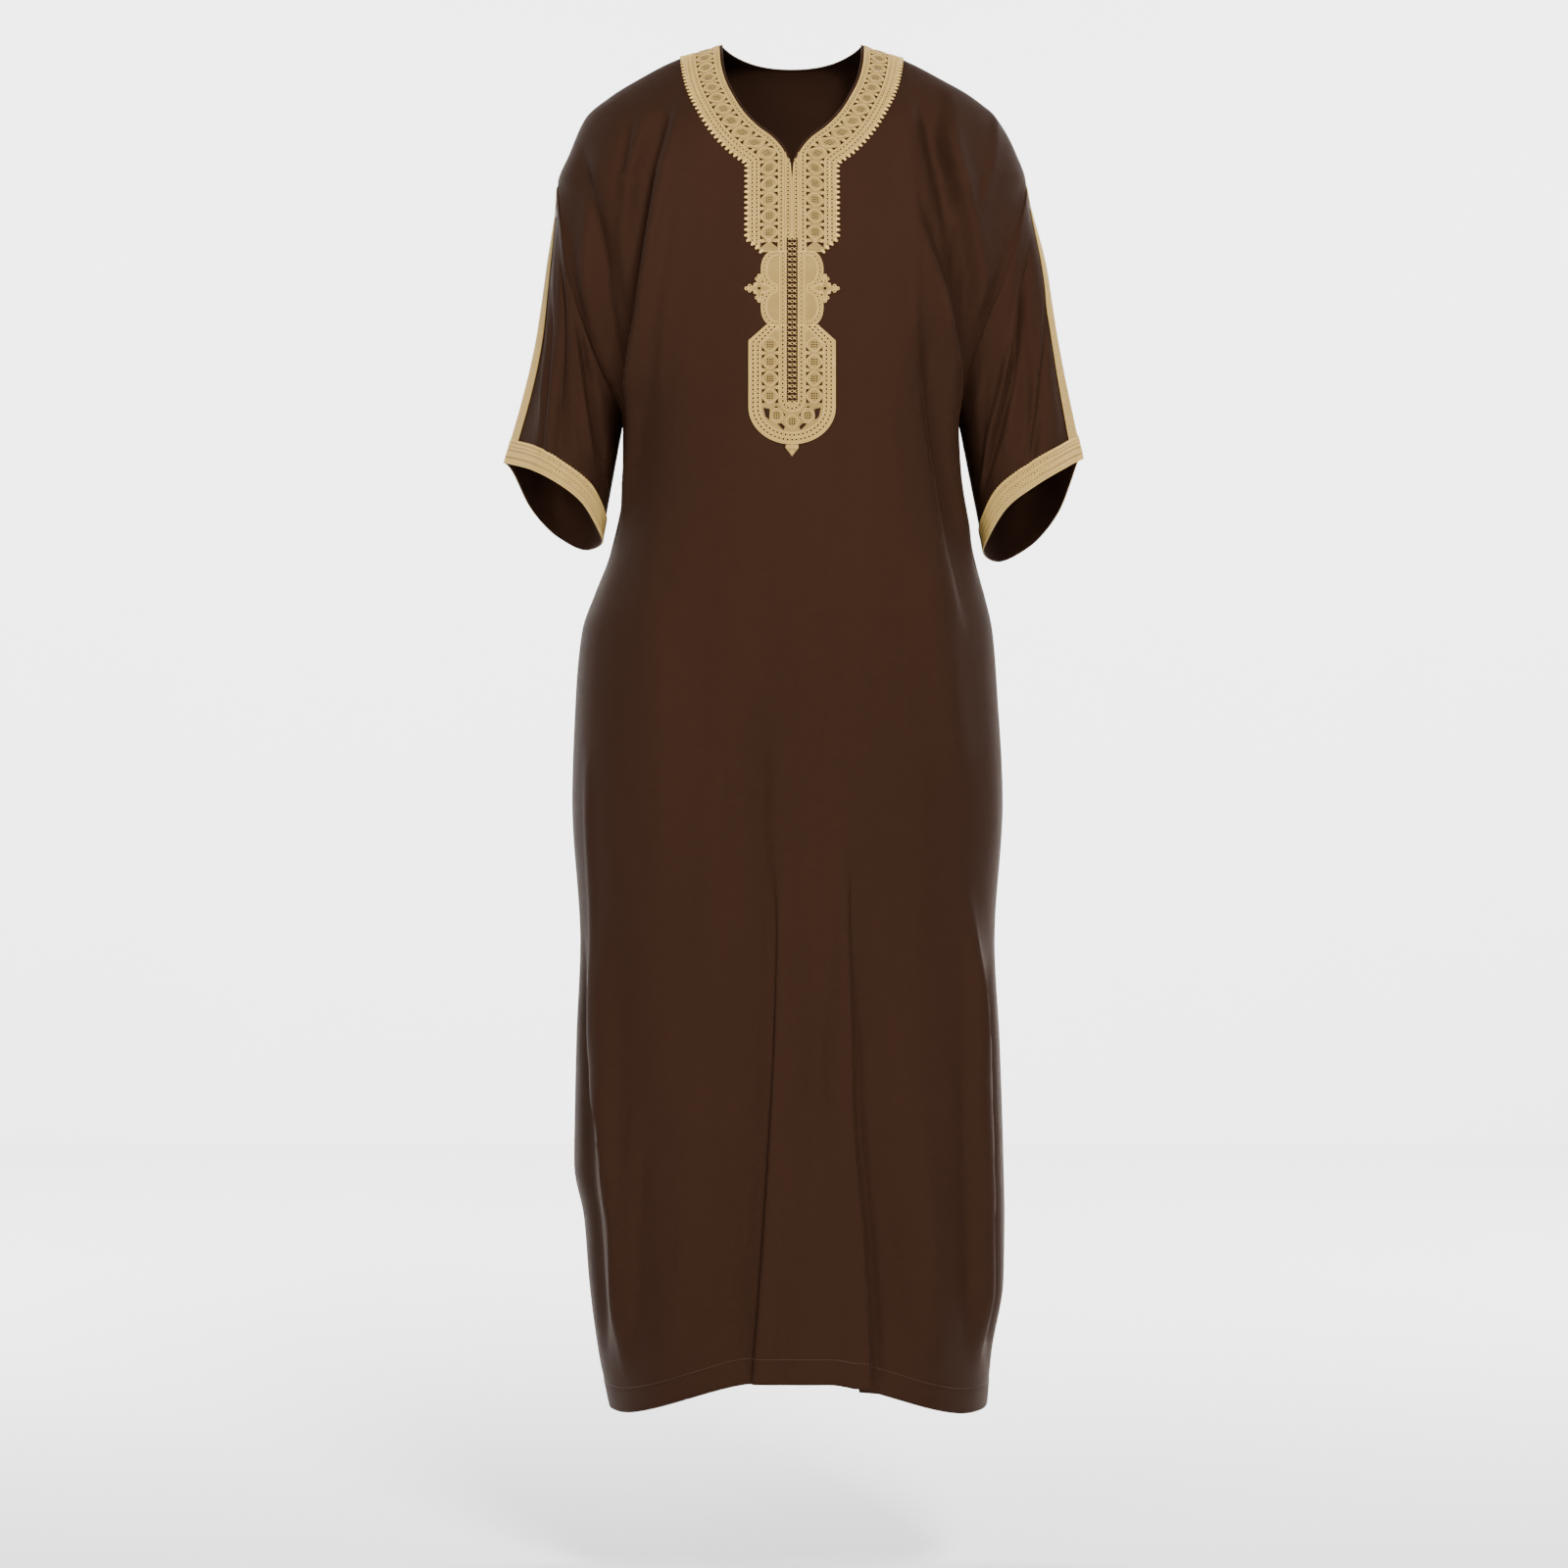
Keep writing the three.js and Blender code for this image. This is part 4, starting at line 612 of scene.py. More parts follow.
def column_tops(panel):
    """Where the columns of a panel start: x, drop, and whether that is on the shoulder seam."""
    places = all_places(panel, np.array([UNDERARM]))[0]
    x, drop, seam = np.zeros_like(places), np.zeros_like(places), np.zeros(len(places), bool)
    for side in (LEFT, RIGHT):
        line_x, line_drop = top_line(panel, side)
        lengths = line_lengths(line_x, line_drop)
        corner = lengths[59]
        start = SLIT_HALF if panel is FRONT else 0
        mine = places < 0 if side == LEFT else places >= 0
        share = (np.abs(places) - start) / (girth(panel, side, UNDERARM) - start)
        along = np.clip(share, 0, 1) * lengths[-1]
        near = np.abs(along - corner) < 0.0017
        along = np.where(near, corner, along)
        x = np.where(mine, side * np.interp(along, lengths, line_x), x)
        drop = np.where(mine, np.interp(along, lengths, line_drop), drop)
        seam = np.where(mine, along >= corner, seam)
    return x, drop, seam


def shoulder_normal(side, drop):
    at = np.clip(drop, 0.001, SHOULDER_TIP - 0.001)
    run = edge_at(side, at + 0.001) - edge_at(side, at - 0.001)
    normal = np.stack([np.full(np.shape(run), 0.002) * side, 0 * run, run], axis=-1)
    return normal / np.linalg.norm(normal, axis=-1, keepdims=True)


def unit(vectors):
    return vectors / np.maximum(np.linalg.norm(vectors, axis=-1, keepdims=True), 1e-12)


def armhole(side, angle):
    """Armhole points, the direction out of the cloth there and the direction towards the sleeve."""
    angle = np.asarray(angle, float)

    def at(turn):
        drop = lerp(SHOULDER_TIP, UNDERARM, (1 - np.cos(turn)) / 2)
        front = TORSO_AT["seam"](drop) - armhole_reach(FRONT, drop)
        back = TORSO_AT["seam"](drop) + armhole_reach(BACK, drop)
        y = np.where(np.sin(turn) >= 0, front, back)
        return np.stack([side * edge_at(side, drop), y, -drop], axis=-1)

    upper = shoulder_normal(side, np.array(SHOULDER_TIP))
    axis = np.where(np.cos(angle)[..., None] > 0, upper, np.array([0.0, 0.0, 1.0]))
    out = axis * np.cos(angle)[..., None]
    out[..., 1] = -np.sin(angle)
    out = unit(out)
    tangent = unit(at(angle + 0.03) - at(angle - 0.03))
    to_sleeve = -side * unit(np.cross(tangent, out))
    return at(angle), out, to_sleeve


def grid_normals(points, outwards, ring=False):
    """Direction out of the cloth at each point of a grid."""
    if ring:
        across = np.roll(points, -1, axis=1) - np.roll(points, 1, axis=1)
    else:
        across = np.gradient(points, axis=1)
    along = np.gradient(points, axis=0)
    return unit(np.cross(across, along)) * outwards


def panel_grid(panel):
    """Points, directions out of the cloth, and flat places for a whole panel."""
    top_x, top_drop, on_seam = column_tops(panel)
    total = ARMHOLE_ROWS + SKIRT_ROWS + HEM_ROWS
    hem = hem_drop(panel, all_places(panel, np.array([HEM_SIDE]))[0])
    drops = []
    for j in range(total + 1):
        if j <= ARMHOLE_ROWS:
            drops.append(lerp(top_drop, UNDERARM, (1 - math.cos(math.pi * j / ARMHOLE_ROWS)) / 2))
        elif j <= ARMHOLE_ROWS + SKIRT_ROWS:
            drops.append(lerp(UNDERARM, hem - HEM_TURN, (j - ARMHOLE_ROWS) / SKIRT_ROWS))
        else:
            drops.append(hem - HEM_TURN * (total - j) / HEM_ROWS)
    drops = np.array(drops)
    columns = drops.shape[1]
    places = np.take_along_axis(
        all_places(panel, drops), np.arange(columns)[None, :, None], axis=2
    )[..., 0]
    side = np.where(top_x < 0, LEFT, RIGHT)
    widest = edge_at(side, np.minimum(drops, SHOULDER_TIP))
    share = np.minimum(1, np.abs(top_x) / widest)
    flat = drops.ravel()
    every_side = np.broadcast_to(side, drops.shape).ravel()
    lengths = spread(panel, every_side, flat)[1]
    shares = np.broadcast_to(SHARES, lengths.shape)
    top_places = (every_side * look_up(shares, lengths, share.ravel())).reshape(drops.shape)
    settle = smooth((drops - top_drop) / 0.170)
    x = lerp(top_places, places, settle)
    x[:, 0] = -9.0
    x[:, -1] = 9.0
    if panel is FRONT:
        slit = np.abs(places) <= SLIT_HALF * 1.01
        x = np.where(slit, places, x)
    points = panel_point(panel, drops, x)
    normals = grid_normals(points, panel["sign"])
    widths = girth(panel, np.sign(x), drops)
    flat_x = np.clip(x, -widths, widths)
    finish_edges(panel, points, normals, drops, on_seam)
    return points, normals, np.stack([flat_x, -drops], axis=-1)


def finish_edges(panel, points, normals, drops, on_seam):
    """Gives the seams of a panel the directions that it shares with its neighbours."""
    sign = panel["sign"]
    for k in np.nonzero(on_seam)[0][1:-1]:
        side = LEFT if points[0, k, 0] < 0 else RIGHT
        normals[0, k] = shoulder_normal(side, drops[0, k])
        points[0, k, 1] = SHOULDER_Y + sign * SEAM / 2
    rows = np.arange(ARMHOLE_ROWS + 1)
    half = math.pi * rows / ARMHOLE_ROWS
    angles = half if panel is FRONT else 2 * math.pi - half
    for k, side in ((0, LEFT), (-1, RIGHT)):
        at, out, to_sleeve = armhole(side, angles)
        normals[: ARMHOLE_ROWS + 1, k] = out
        points[: ARMHOLE_ROWS + 1, k] = at - to_sleeve * SEAM / 2
        normals[ARMHOLE_ROWS + 1 :, k] = (side, 0, 0)
        vent = VENT_HALF * smooth((drops[:, k] - VENT_TOP) / (HEM_SIDE - VENT_TOP))
        ends = np.ones(len(points), bool)
        ends[1:ARMHOLE_ROWS] = False
        points[ends, k, 1] += sign * (SEAM / 2 + vent[ends])


# Meshes
def new_object(name, verts, faces, uvs=None, flat_from=None):
    """A mesh object. uvs has one pair for each corner; faces from flat_from on are shaded flat."""
    mesh = bpy.data.meshes.new(name)
    mesh.from_pydata(np.asarray(verts).tolist(), [], faces)
    if uvs is not None:
        layer = mesh.uv_layers.new(name="Cloth")
        layer.data.foreach_set("uv", np.asarray(uvs, np.float32).ravel())
    smooth_faces = np.ones(len(mesh.polygons), bool)
    if flat_from is not None:
        smooth_faces[flat_from:] = False
    mesh.polygons.foreach_set("use_smooth", smooth_faces)
    mesh.update()
    thing = bpy.data.objects.new(name, mesh)
    bpy.context.collection.objects.link(thing)
    return thing


def cloth_wall(name, grid, thickness, ring=False, skip=None, turn_over=False):
    """A closed wall of cloth between a grid of points and the same grid moved inwards."""
    points, normals, flat = grid
    rows, columns = points.shape[:2]
    across = columns if ring else columns - 1
    present = np.ones((rows - 1, across), bool)
    if skip is not None:
        present &= ~skip
    outer = np.arange(rows * columns).reshape(rows, columns)
    inner = outer + rows * columns
    verts = np.concatenate([points.reshape(-1, 3), (points - normals * thickness).reshape(-1, 3)])
    faces, uvs = [], []
    rims, rim_uvs = [], []

    def here(j, k):
        if ring:
            k %= columns
        return 0 <= j < rows - 1 and 0 <= k < across and present[j, k]

    def corner(layer, j, k):
        return int(layer[j, k % columns]), flat[j, k]

    def add(store, store_uvs, *corners):
        if turn_over:
            corners = corners[::-1]
        store.append([c[0] for c in corners])
        store_uvs.extend(c[1] for c in corners)

    for j in range(rows - 1):
        for k in range(across):
            if not present[j, k]:
                continue
            a, b = corner(outer, j, k), corner(outer, j + 1, k)
            c, d = corner(outer, j + 1, k + 1), corner(outer, j, k + 1)
            e, f = corner(inner, j, k), corner(inner, j + 1, k)
            g, h = corner(inner, j + 1, k + 1), corner(inner, j, k + 1)
            add(faces, uvs, a, b, c, d)
            add(faces, uvs, e, h, g, f)
            if not here(j - 1, k):
                add(rims, rim_uvs, a, d, h, e)
            if not here(j + 1, k):
                add(rims, rim_uvs, c, b, f, g)
            if not here(j, k - 1):
                add(rims, rim_uvs, b, a, e, f)
            if not here(j, k + 1):
                add(rims, rim_uvs, d, c, g, h)
    return new_object(name, verts, faces + rims, uvs + rim_uvs, flat_from=len(faces))


def ring_angles(stripe_angle):
    """Angles round a sleeve. The first and last few carry the braid down it."""
    plain = 360 * np.arange(1, 2 * ARMHOLE_ROWS) / (2 * ARMHOLE_ROWS)
    angles = np.concatenate([[0], plain])
    return (angles + stripe_angle * (1 + np.cos(np.radians(angles))) / 2) % 360


def sleeve_fold_height(side, share, angle, crease):
    """Height of a sleeve's folds, with the sharp one behind its braid."""
    turn = (angle - crease + 540) % 360 - 180
    sharp = np.exp(-(np.abs(turn / CREASE_WIDTH) ** 1.4))
    total = CREASE_HEIGHT * smooth(share * 3) * sharp
    own = LEFT_SLEEVE_FOLDS if side == LEFT else RIGHT_SLEEVE_FOLDS
    for top, bottom, start, end, width, height in [*zip(*SLEEVE_FOLDS.values()), *zip(*own.values())]:
        along = (share - start) / (end - start)
        off = (angle - lerp(top, bottom, along)) / SLEEVE_DEGREE
        ends = smooth(along * 4) * smooth((1 - along) * 5)
        total = total + ends * height * np.exp(-((off / width) ** 2))
    return total


SLEEVE_ROWS = 64
CUFF_ROWS = 8


def sleeve_grid(side):
    """Points, directions and flat places of a sleeve."""
    key = "left" if side == LEFT else "right"
    turns = [-360, 0, 360]
    angles = np.concatenate([CUFF["angle"] + turn for turn in turns])
    cuff_x, cuff_y, cuff_drop = (
        curve(angles, np.tile(CUFF[name], 3)) for name in (key + "_x", "y", key + "_drop")
    )
    stripe = curve(STRIPE["share"], STRIPE[key])
    rows = []
    shares = []
    for i in range(SLEEVE_ROWS + CUFF_ROWS + 1):
        nominal = min(i / SLEEVE_ROWS, 1)
        angle = ring_angles(stripe(nominal))
        at, _, to_sleeve = armhole(side, np.radians(angle))
        start = at + to_sleeve * SEAM / 2
        end = np.stack([side * cuff_x(angle), cuff_y(angle), -cuff_drop(angle)], axis=-1)
        length = np.linalg.norm(end - start, axis=-1)
        band_top = 1 - CUFF_BAND / length
        if i <= SLEEVE_ROWS:
            share = band_top * i / SLEEVE_ROWS
        else:
            share = lerp(band_top, 1, (i - SLEEVE_ROWS) / CUFF_ROWS)
        point = lerp(start, end, share[:, None])
        outer = np.clip(np.cos(np.radians(angle)), 0, 1)
        point[:, 0] += side * BOW[side] * outer * np.sin(np.pi * share)
        rows.append((point, share, angle, stripe(nominal) - STRIPE_HALF * SLEEVE_DEGREE))
        shares.append(share)
    points = np.array([row[0] for row in rows])
    share = np.array([row[1] for row in rows])
    angle = np.array([row[2] for row in rows])
    crease = np.array([row[3] for row in rows])[:, None]
    normals = grid_normals(points, side, ring=True)
    height = sleeve_fold_height(side, share, angle, crease)
    height[0] = 0
    seam_dip = -SEAM_DIP * np.exp(-((share / 0.006) ** 2)) * (share > 0)
    points = points + normals * (height + seam_dip)[..., None]
    normals = grid_normals(points, side, ring=True)
    normals[0] = armhole(side, np.radians(ring_angles(0)))[1]
    around = np.linalg.norm(np.diff(points[-1], axis=0), axis=-1)
    u = np.concatenate([[0], np.cumsum(around), [around.sum() + around[0]]])
    down = -SLEEVE_LENGTH * np.append(share, share[:, :1], axis=1)
    flat = np.stack(np.broadcast_arrays(u[None], down), axis=-1)
    return points, normals, flat


# Laying flat drawings on the cloth
def bilinear(grid, row, column):
    """Values between the points of a grid, at fractional rows and columns."""
    j = np.clip(np.floor(row).astype(int), 0, grid.shape[0] - 2)
    i = np.clip(np.floor(column).astype(int), 0, grid.shape[1] - 2)
    t, s = (row - j)[:, None], (column - i)[:, None]
    upper = lerp(grid[j, i], grid[j, i + 1], s)
    lower = lerp(grid[j + 1, i], grid[j + 1, i + 1], s)
    return lerp(upper, lower, t)


def resample(values, lengths, steps):
    """Rows of values known at some lengths, read at others."""
    return np.stack([np.interp(steps, lengths, column) for column in values.T], axis=1)


class Laid:
    """Looks up places on a panel as seen from the front or back, by x and drop."""

    def __init__(self, panel, reach, deepest):
        self.panel, self.reach, self.deepest = panel, reach, deepest
        self.across = np.linspace(-reach, reach, 151)
        self.down = np.linspace(0, 1, 220)
        x, w = np.meshgrid(self.across, self.down)
        top = self.crest(x)
        drop = top + (deepest - top) * w**2
        self.points = self.solve(x.ravel(), drop.ravel()).reshape(*x.shape, 3)
        normals = np.cross(np.gradient(self.points, axis=1), np.gradient(self.points, axis=0))
        self.normals = unit(normals) * panel["sign"]
        seam = shoulder_normal(np.where(x[0] < 0, LEFT, RIGHT), np.maximum(top[0], 0.002))
        on_seam = np.abs(x[0]) > NECK_HALF
        self.normals[0] = np.where(on_seam[:, None], seam, self.normals[1])

    def crest(self, x):
        """Drop of the shoulder line at x."""
        drops = np.linspace(0, SHOULDER_TIP, 200)
        left = np.interp(np.abs(x), LEFT_EDGE(drops), drops)
        right = np.interp(np.abs(x), RIGHT_EDGE(drops), drops)
        return np.where(x < 0, left, right)

    def solve(self, x, drop):
        side = np.where(x < 0, LEFT, RIGHT)
        widths, lengths = spread(self.panel, side, drop)
        return panel_point(self.panel, drop, side * look_up(widths, lengths, np.abs(x)))

    def look(self, x, drop):
        top = self.crest(x)
        w = np.sqrt(np.clip((drop - top) / (self.deepest - top), 0, 1))
        column = np.clip((x + self.reach) / (2 * self.reach), 0, 1) * (len(self.across) - 1)
        row = w * (len(self.down) - 1)
        return bilinear(self.points, row, column), unit(bilinear(self.normals, row, column))

    def __call__(self, flat, lift):
        points, normals = self.look(flat[:, 0], flat[:, 1])
        return points + normals * np.asarray(lift).reshape(-1, 1), normals


def offset_line(x, drop, distance):
    """A line moved sideways, to the outside of the right half of the neckline."""
    run_x, run_drop = np.gradient(x), np.gradient(drop)
    long = np.hypot(run_x, run_drop)
    return x - distance * run_drop / long, drop + distance * run_x / long


class NeckBand:
    """The braid of one side: s runs down its row of rosettes, d is the distance from its inner edge."""

    def __init__(self, side, laid):
        self.side, self.laid = side, laid
        self.distances = np.linspace(0, BAND, 24)
        turn = np.sin(np.linspace(0, math.pi / 2, 240))
        x = lerp(SLIT_HALF, NECK_HALF, turn)
        drop = NECK_DROP(x)
        lines = []
        for d in self.distances:
            straight = PLACKET_SHIFT + d * (PLACKET_HALF - PLACKET_SHIFT) / BAND
            line_x, line_drop = offset_line(x, drop, ROLL + d)
            keep = (line_x > straight) & (line_drop > laid.crest(side * line_x) + 1e-5)
            line_x, line_drop = line_x[keep][::-1], line_drop[keep][::-1]
            start = laid.crest(side * line_x[:1])
            upper = self.even(np.append(line_x[:1], line_x), np.append(start, line_drop), 90)
            corner = upper[-1]
            lower = self.even(
                np.array([straight, straight]), np.array([corner[1], PLACKET_FOOT]), 60
            )
            lines.append(np.concatenate([upper, lower[1:]]))
        self.lines = np.array(lines)
        middle = self.flat_rows(np.full(self.lines.shape[1], ROSETTE_AT))
        points = laid(middle, 0)[0]
        self.s = line_lengths(*points.T)
        self.end = self.s[-1]

    def even(self, x, drop, count):
        """The same line with evenly spaced points, by length on the cloth."""
        fine = np.linspace(0, 1, 300)
        at = np.linspace(0, 1, len(x))
        flat = resample(np.stack([x, drop], axis=1), at, fine)
        points = self.laid(flat * (self.side, 1), 0)[0]
        lengths = line_lengths(*points.T)
        steps = np.linspace(0, lengths[-1], count)
        return resample(flat, lengths, steps)

    def flat_rows(self, d):
        """One point of each cross line, at the given distances."""
        k = np.clip(d / BAND, 0, 1) * (len(self.distances) - 1)
        k0 = np.minimum(k.astype(int), len(self.distances) - 2)
        n = np.arange(self.lines.shape[1])
        flat = lerp(self.lines[k0, n], self.lines[k0 + 1, n], (k - k0)[:, None])
        return flat * (self.side, 1)

    def __call__(self, sd, lift):
        s, d = sd[:, 0], sd[:, 1]
        column = np.interp(s, self.s, np.arange(len(self.s)))
        row = np.clip(d / BAND, -0.3, 1.3) * (len(self.distances) - 1)
        return self.laid(bilinear(self.lines, row, column) * (self.side, 1), lift)


class BackBand:
    """The braid round the back of the neck: s runs along it, d is the distance from its inner edge."""

    def __init__(self, laid):
        self.laid = laid
        u = np.linspace(-1, 1, 120)
        self.u = u
        middle = self.flat(u, np.full(len(u), ROSETTE_AT))
        self.s = line_lengths(*laid(middle, 0)[0].T)
        self.end = self.s[-1]

    def flat(self, u, d):
        inner_x = (NECK_HALF + ROLL) * u
        inner_drop = BACK_NECK * (1 - np.abs(u) ** 2.2) + ROLL * (1 - np.abs(u) ** 6)
        outer_x = (NECK_HALF + ROLL + BAND) * u
        outer_drop = np.maximum(
            BACK_BAND_DROP - 0.037 * np.abs(u) ** 2.6, self.laid.crest(outer_x)
        )
        share = d / BAND
        x = lerp(inner_x, outer_x, share)
        drop = lerp(inner_drop, outer_drop, share)
        return np.stack([x, np.maximum(drop, self.laid.crest(x) + 1e-5)], axis=1)

    def __call__(self, sd, lift):
        return self.laid(self.flat(np.interp(sd[:, 0], self.s, self.u), sd[:, 1]), lift)


class SleeveLaid:
    """Places on a sleeve: the first coordinate runs round or along it, the second across the braid."""

    def __init__(self, rows_points, rows_normals):
        self.points, self.normals = rows_points, rows_normals
        middle = rows_points[:, rows_points.shape[1] // 2]
        self.s = line_lengths(*middle.T)
        self.end = self.s[-1]
        across = rows_points[len(rows_points) // 2]
        self.d = line_lengths(*across.T)
        self.width = self.d[-1]

    def __call__(self, sd, lift):
        along = np.interp(sd[:, 0], self.s, np.arange(len(self.s)))
        across = np.interp(sd[:, 1], self.d, np.arange(len(self.d)))
        normals = unit(bilinear(self.normals.swapaxes(0, 1), across, along))
        points = bilinear(self.points.swapaxes(0, 1), across, along)
        return points + normals * np.asarray(lift).reshape(-1, 1), normals


# Flat drawings
def closer(outline, spacing):
    """A closed outline with points no further apart than the spacing."""
    points = []
    for a, b in zip(outline, np.roll(outline, -1, axis=0)):
        count = max(1, math.ceil(np.linalg.norm(b - a) / spacing))
        points += [lerp(a, b, i / count) for i in range(count)]
    return np.array(points)


def inside(points, outline):
    """Which points lie inside a closed outline."""
    x, y = points[:, :1], points[:, 1:]
    ax, ay = outline[:, 0], outline[:, 1]
    bx, by = np.roll(ax, -1), np.roll(ay, -1)
    crosses = (ay > y) != (by > y)
    slope = np.where(by == ay, 1, by - ay)
    at = ax + (y - ay) * (bx - ax) / slope
    return (crosses & (x < at)).sum(axis=1) % 2 == 1


def circle(centre, radius, count=8):
    angles = 2 * math.pi * (np.arange(count) + 0.5) / count
    return np.array(centre) + radius * np.stack([np.cos(angles), np.sin(angles)], axis=1)


def worked_plate(name, outline, holes, lay, spacing=0.0022):
    """The worked ground of a piece of embroidery, with its holes, laid on the cloth."""
    outline = closer(np.asarray(outline, float), spacing)
    holes = [np.asarray(h, float) for h in holes]
    holes = [h for h in holes if inside(h, outline).all()]
    low, high = outline.min(axis=0), outline.max(axis=0)
    gx, gy = np.meshgrid(
        np.arange(low[0] + spacing / 2, high[0], spacing),
        np.arange(low[1] + spacing / 2, high[1], spacing),
    )
    fill = np.stack([gx.ravel(), gy.ravel()], axis=1)
    fill = fill[inside(fill, outline)]
    loops = [outline, *holes]
    verts = np.concatenate(loops)
    owner = np.concatenate([np.full(len(loop), n) for n, loop in enumerate(loops)])
    edges = []
    start = 0
    for loop in loops:
        edges += [(start + i, start + (i + 1) % len(loop)) for i in range(len(loop))]
        start += len(loop)
    keep = np.ones(len(fill), bool)
    for block in range(0, len(fill), 400):
        part = fill[block : block + 400]
        away = np.linalg.norm(part[:, None] - verts[None], axis=-1).min(axis=1)
        keep[block : block + 400] = away > spacing * 0.45
    fill = fill[keep]
    for hole in holes:
        centre = hole.mean(axis=0)
        fill = fill[np.linalg.norm(fill - centre, axis=1) > np.linalg.norm(hole - centre, axis=1).max()]
    everything = np.concatenate([verts, fill])
    scale = 1000.0
    made = delaunay_2d_cdt([tuple(p * scale) for p in everything], edges, [], 1, 1e-5, True)
    flat = np.array([tuple(v) for v in made[0]]) / scale
    owners = [
        owner[ids[0]] if ids and ids[0] < len(owner) else -1 for ids in made[3]
    ]
    triangles = []
    for face in made[2]:
        first = owners[face[0]]
        in_hole = first > 0 and all(owners[v] == first for v in face)
        if not in_hole:
            triangles.append(list(face))
    centres = flat[np.array(triangles)].mean(axis=1)
    triangles = [t for t, kept in zip(triangles, inside(centres, outline)) if kept]
    top, normals = lay(flat, PLATE_HIGH)
    bottom = lay(flat, PLATE_LOW)[0]
    a, b, c = (top[[t[i] for t in triangles]] for i in range(3))
    facing = (np.cross(b - a, c - a) * normals[[t[0] for t in triangles]]).sum()
    if facing < 0:
        triangles = [t[::-1] for t in triangles]
    count = len(flat)
    faces = list(triangles)
    faces += [[v + count for v in t[::-1]] for t in triangles]
    seen = {}
    for t in triangles:
        for p, q in zip(t, t[1:] + t[:1]):
            seen[p, q] = True
    rims = [[q, p, p + count, q + count] for p, q in seen if (q, p) not in seen]
    corners = [v % count for face in faces + rims for v in face]
    return new_object(
        name, np.concatenate([top, bottom]), faces + rims, flat[corners], flat_from=len(faces)
    )


def along_line(lay, sd, pitch):
    """Evenly spaced places along a flat line, by length on the cloth."""
    fine = np.linspace(0, 1, 400)
    at = np.linspace(0, 1, len(sd))
    dense = resample(sd, at, fine)
    lengths = line_lengths(*lay(dense, 0)[0].T)
    count = max(1, round(lengths[-1] / pitch))
    steps = (np.arange(count) + 0.5) * lengths[-1] / count
    return resample(dense, lengths, steps)


def laid_path(lay, sd, lift=THREAD_LIFT):
    """A flat line as points on the cloth with the directions out of it."""
    sd = np.asarray(sd, float)
    at = line_lengths(*sd.T)
    count = max(2, math.ceil(at[-1] / PATH_STEP))
    steps = np.linspace(0, at[-1], count + 1)
    return lay(resample(sd, at, steps), lift)


# Geometry nodes
def new_tree(name, inputs):
    """A geometry node tree with a geometry input, named inputs and a geometry output."""
    tree = bpy.data.node_groups.new(name, "GeometryNodeTree")
    face = tree.interface
    face.new_socket(name="Geometry", in_out="INPUT", socket_type="NodeSocketGeometry")
    for label, kind, value in inputs:
        socket = face.new_socket(name=label, in_out="INPUT", socket_type="NodeSocket" + kind)
        if value is not None:
            socket.default_value = value
    face.new_socket(name="Geometry", in_out="OUTPUT", socket_type="NodeSocketGeometry")
    return tree, tree.nodes.new("NodeGroupInput"), tree.nodes.new("NodeGroupOutput")


def node(tree, kind, settings=None, **values):
    """A node with its settings, and values for its inputs by name."""
    made = tree.nodes.new(kind)
    for key, value in (settings or {}).items():
        setattr(made, key, value)
    for key, value in values.items():
        socket = made.inputs[key.replace("_", " ")]
        if hasattr(value, "links"):
            tree.links.new(value, socket)
        else:
            socket.default_value = value
    return made


def finish_tree(tree, source, geometry, output):
    """The last steps of each tree: real geometry, smooth faces and the material."""
    real = node(tree, "GeometryNodeRealizeInstances", Geometry=geometry)
    even = node(tree, "GeometryNodeSetShadeSmooth", Geometry=real.outputs[0])
    dressed = node(
        tree, "GeometryNodeSetMaterial", Geometry=even.outputs[0], Material=source.outputs["Material"]
    )
    tree.links.new(dressed.outputs[0], output.inputs[0])


def named_vector(tree, name):
    return node(tree, "GeometryNodeInputNamedAttribute", {"data_type": "FLOAT_VECTOR"}, Name=name)


def thread_row_tree():
    """Short threads laid one after another along paths, each turned by the same slant."""
    tree, source, output = new_tree(
        "thread_row",
        [
            ("Spacing", "Float", 0.0015), ("Length", "Float", 0.002), ("Width", "Float", 0.001),
            ("Height", "Float", 0.001), ("Slant", "Float", 0.0), ("Segments", "Int", 6),
            ("Rings", "Int", 4), ("Material", "Material", None),
        ],
    )
    path = node(tree, "GeometryNodeMeshToCurve", Mesh=source.outputs["Geometry"])
    spaced = node(
        tree, "GeometryNodeResampleCurve", {"mode": "LENGTH"},
        Curve=path.outputs[0], Length=source.outputs["Spacing"],
    )
    tangent = node(tree, "GeometryNodeInputTangent")
    out = named_vector(tree, "out")
    turn = node(tree, "FunctionNodeAxesToRotation", {"primary_axis": "Z", "secondary_axis": "X"})
    tree.links.new(out.outputs[0], turn.inputs[0])
    tree.links.new(tangent.outputs[0], turn.inputs[1])
    bead = node(
        tree, "GeometryNodeMeshUVSphere",
        Segments=source.outputs["Segments"], Rings=source.outputs["Rings"], Radius=0.5,
    )
    size = node(
        tree, "ShaderNodeCombineXYZ", X=source.outputs["Length"], Y=source.outputs["Width"],
        Z=source.outputs["Height"],
    )
    placed = node(
        tree, "GeometryNodeInstanceOnPoints", Points=spaced.outputs[0], Instance=bead.outputs[0],
        Rotation=turn.outputs[0], Scale=size.outputs[0],
    )
    slant = node(tree, "ShaderNodeCombineXYZ", Z=source.outputs["Slant"])
    turned = node(
        tree, "GeometryNodeRotateInstances", Instances=placed.outputs[0], Rotation=slant.outputs[0]
    )
    finish_tree(tree, source, turned.outputs[0], output)
    return tree


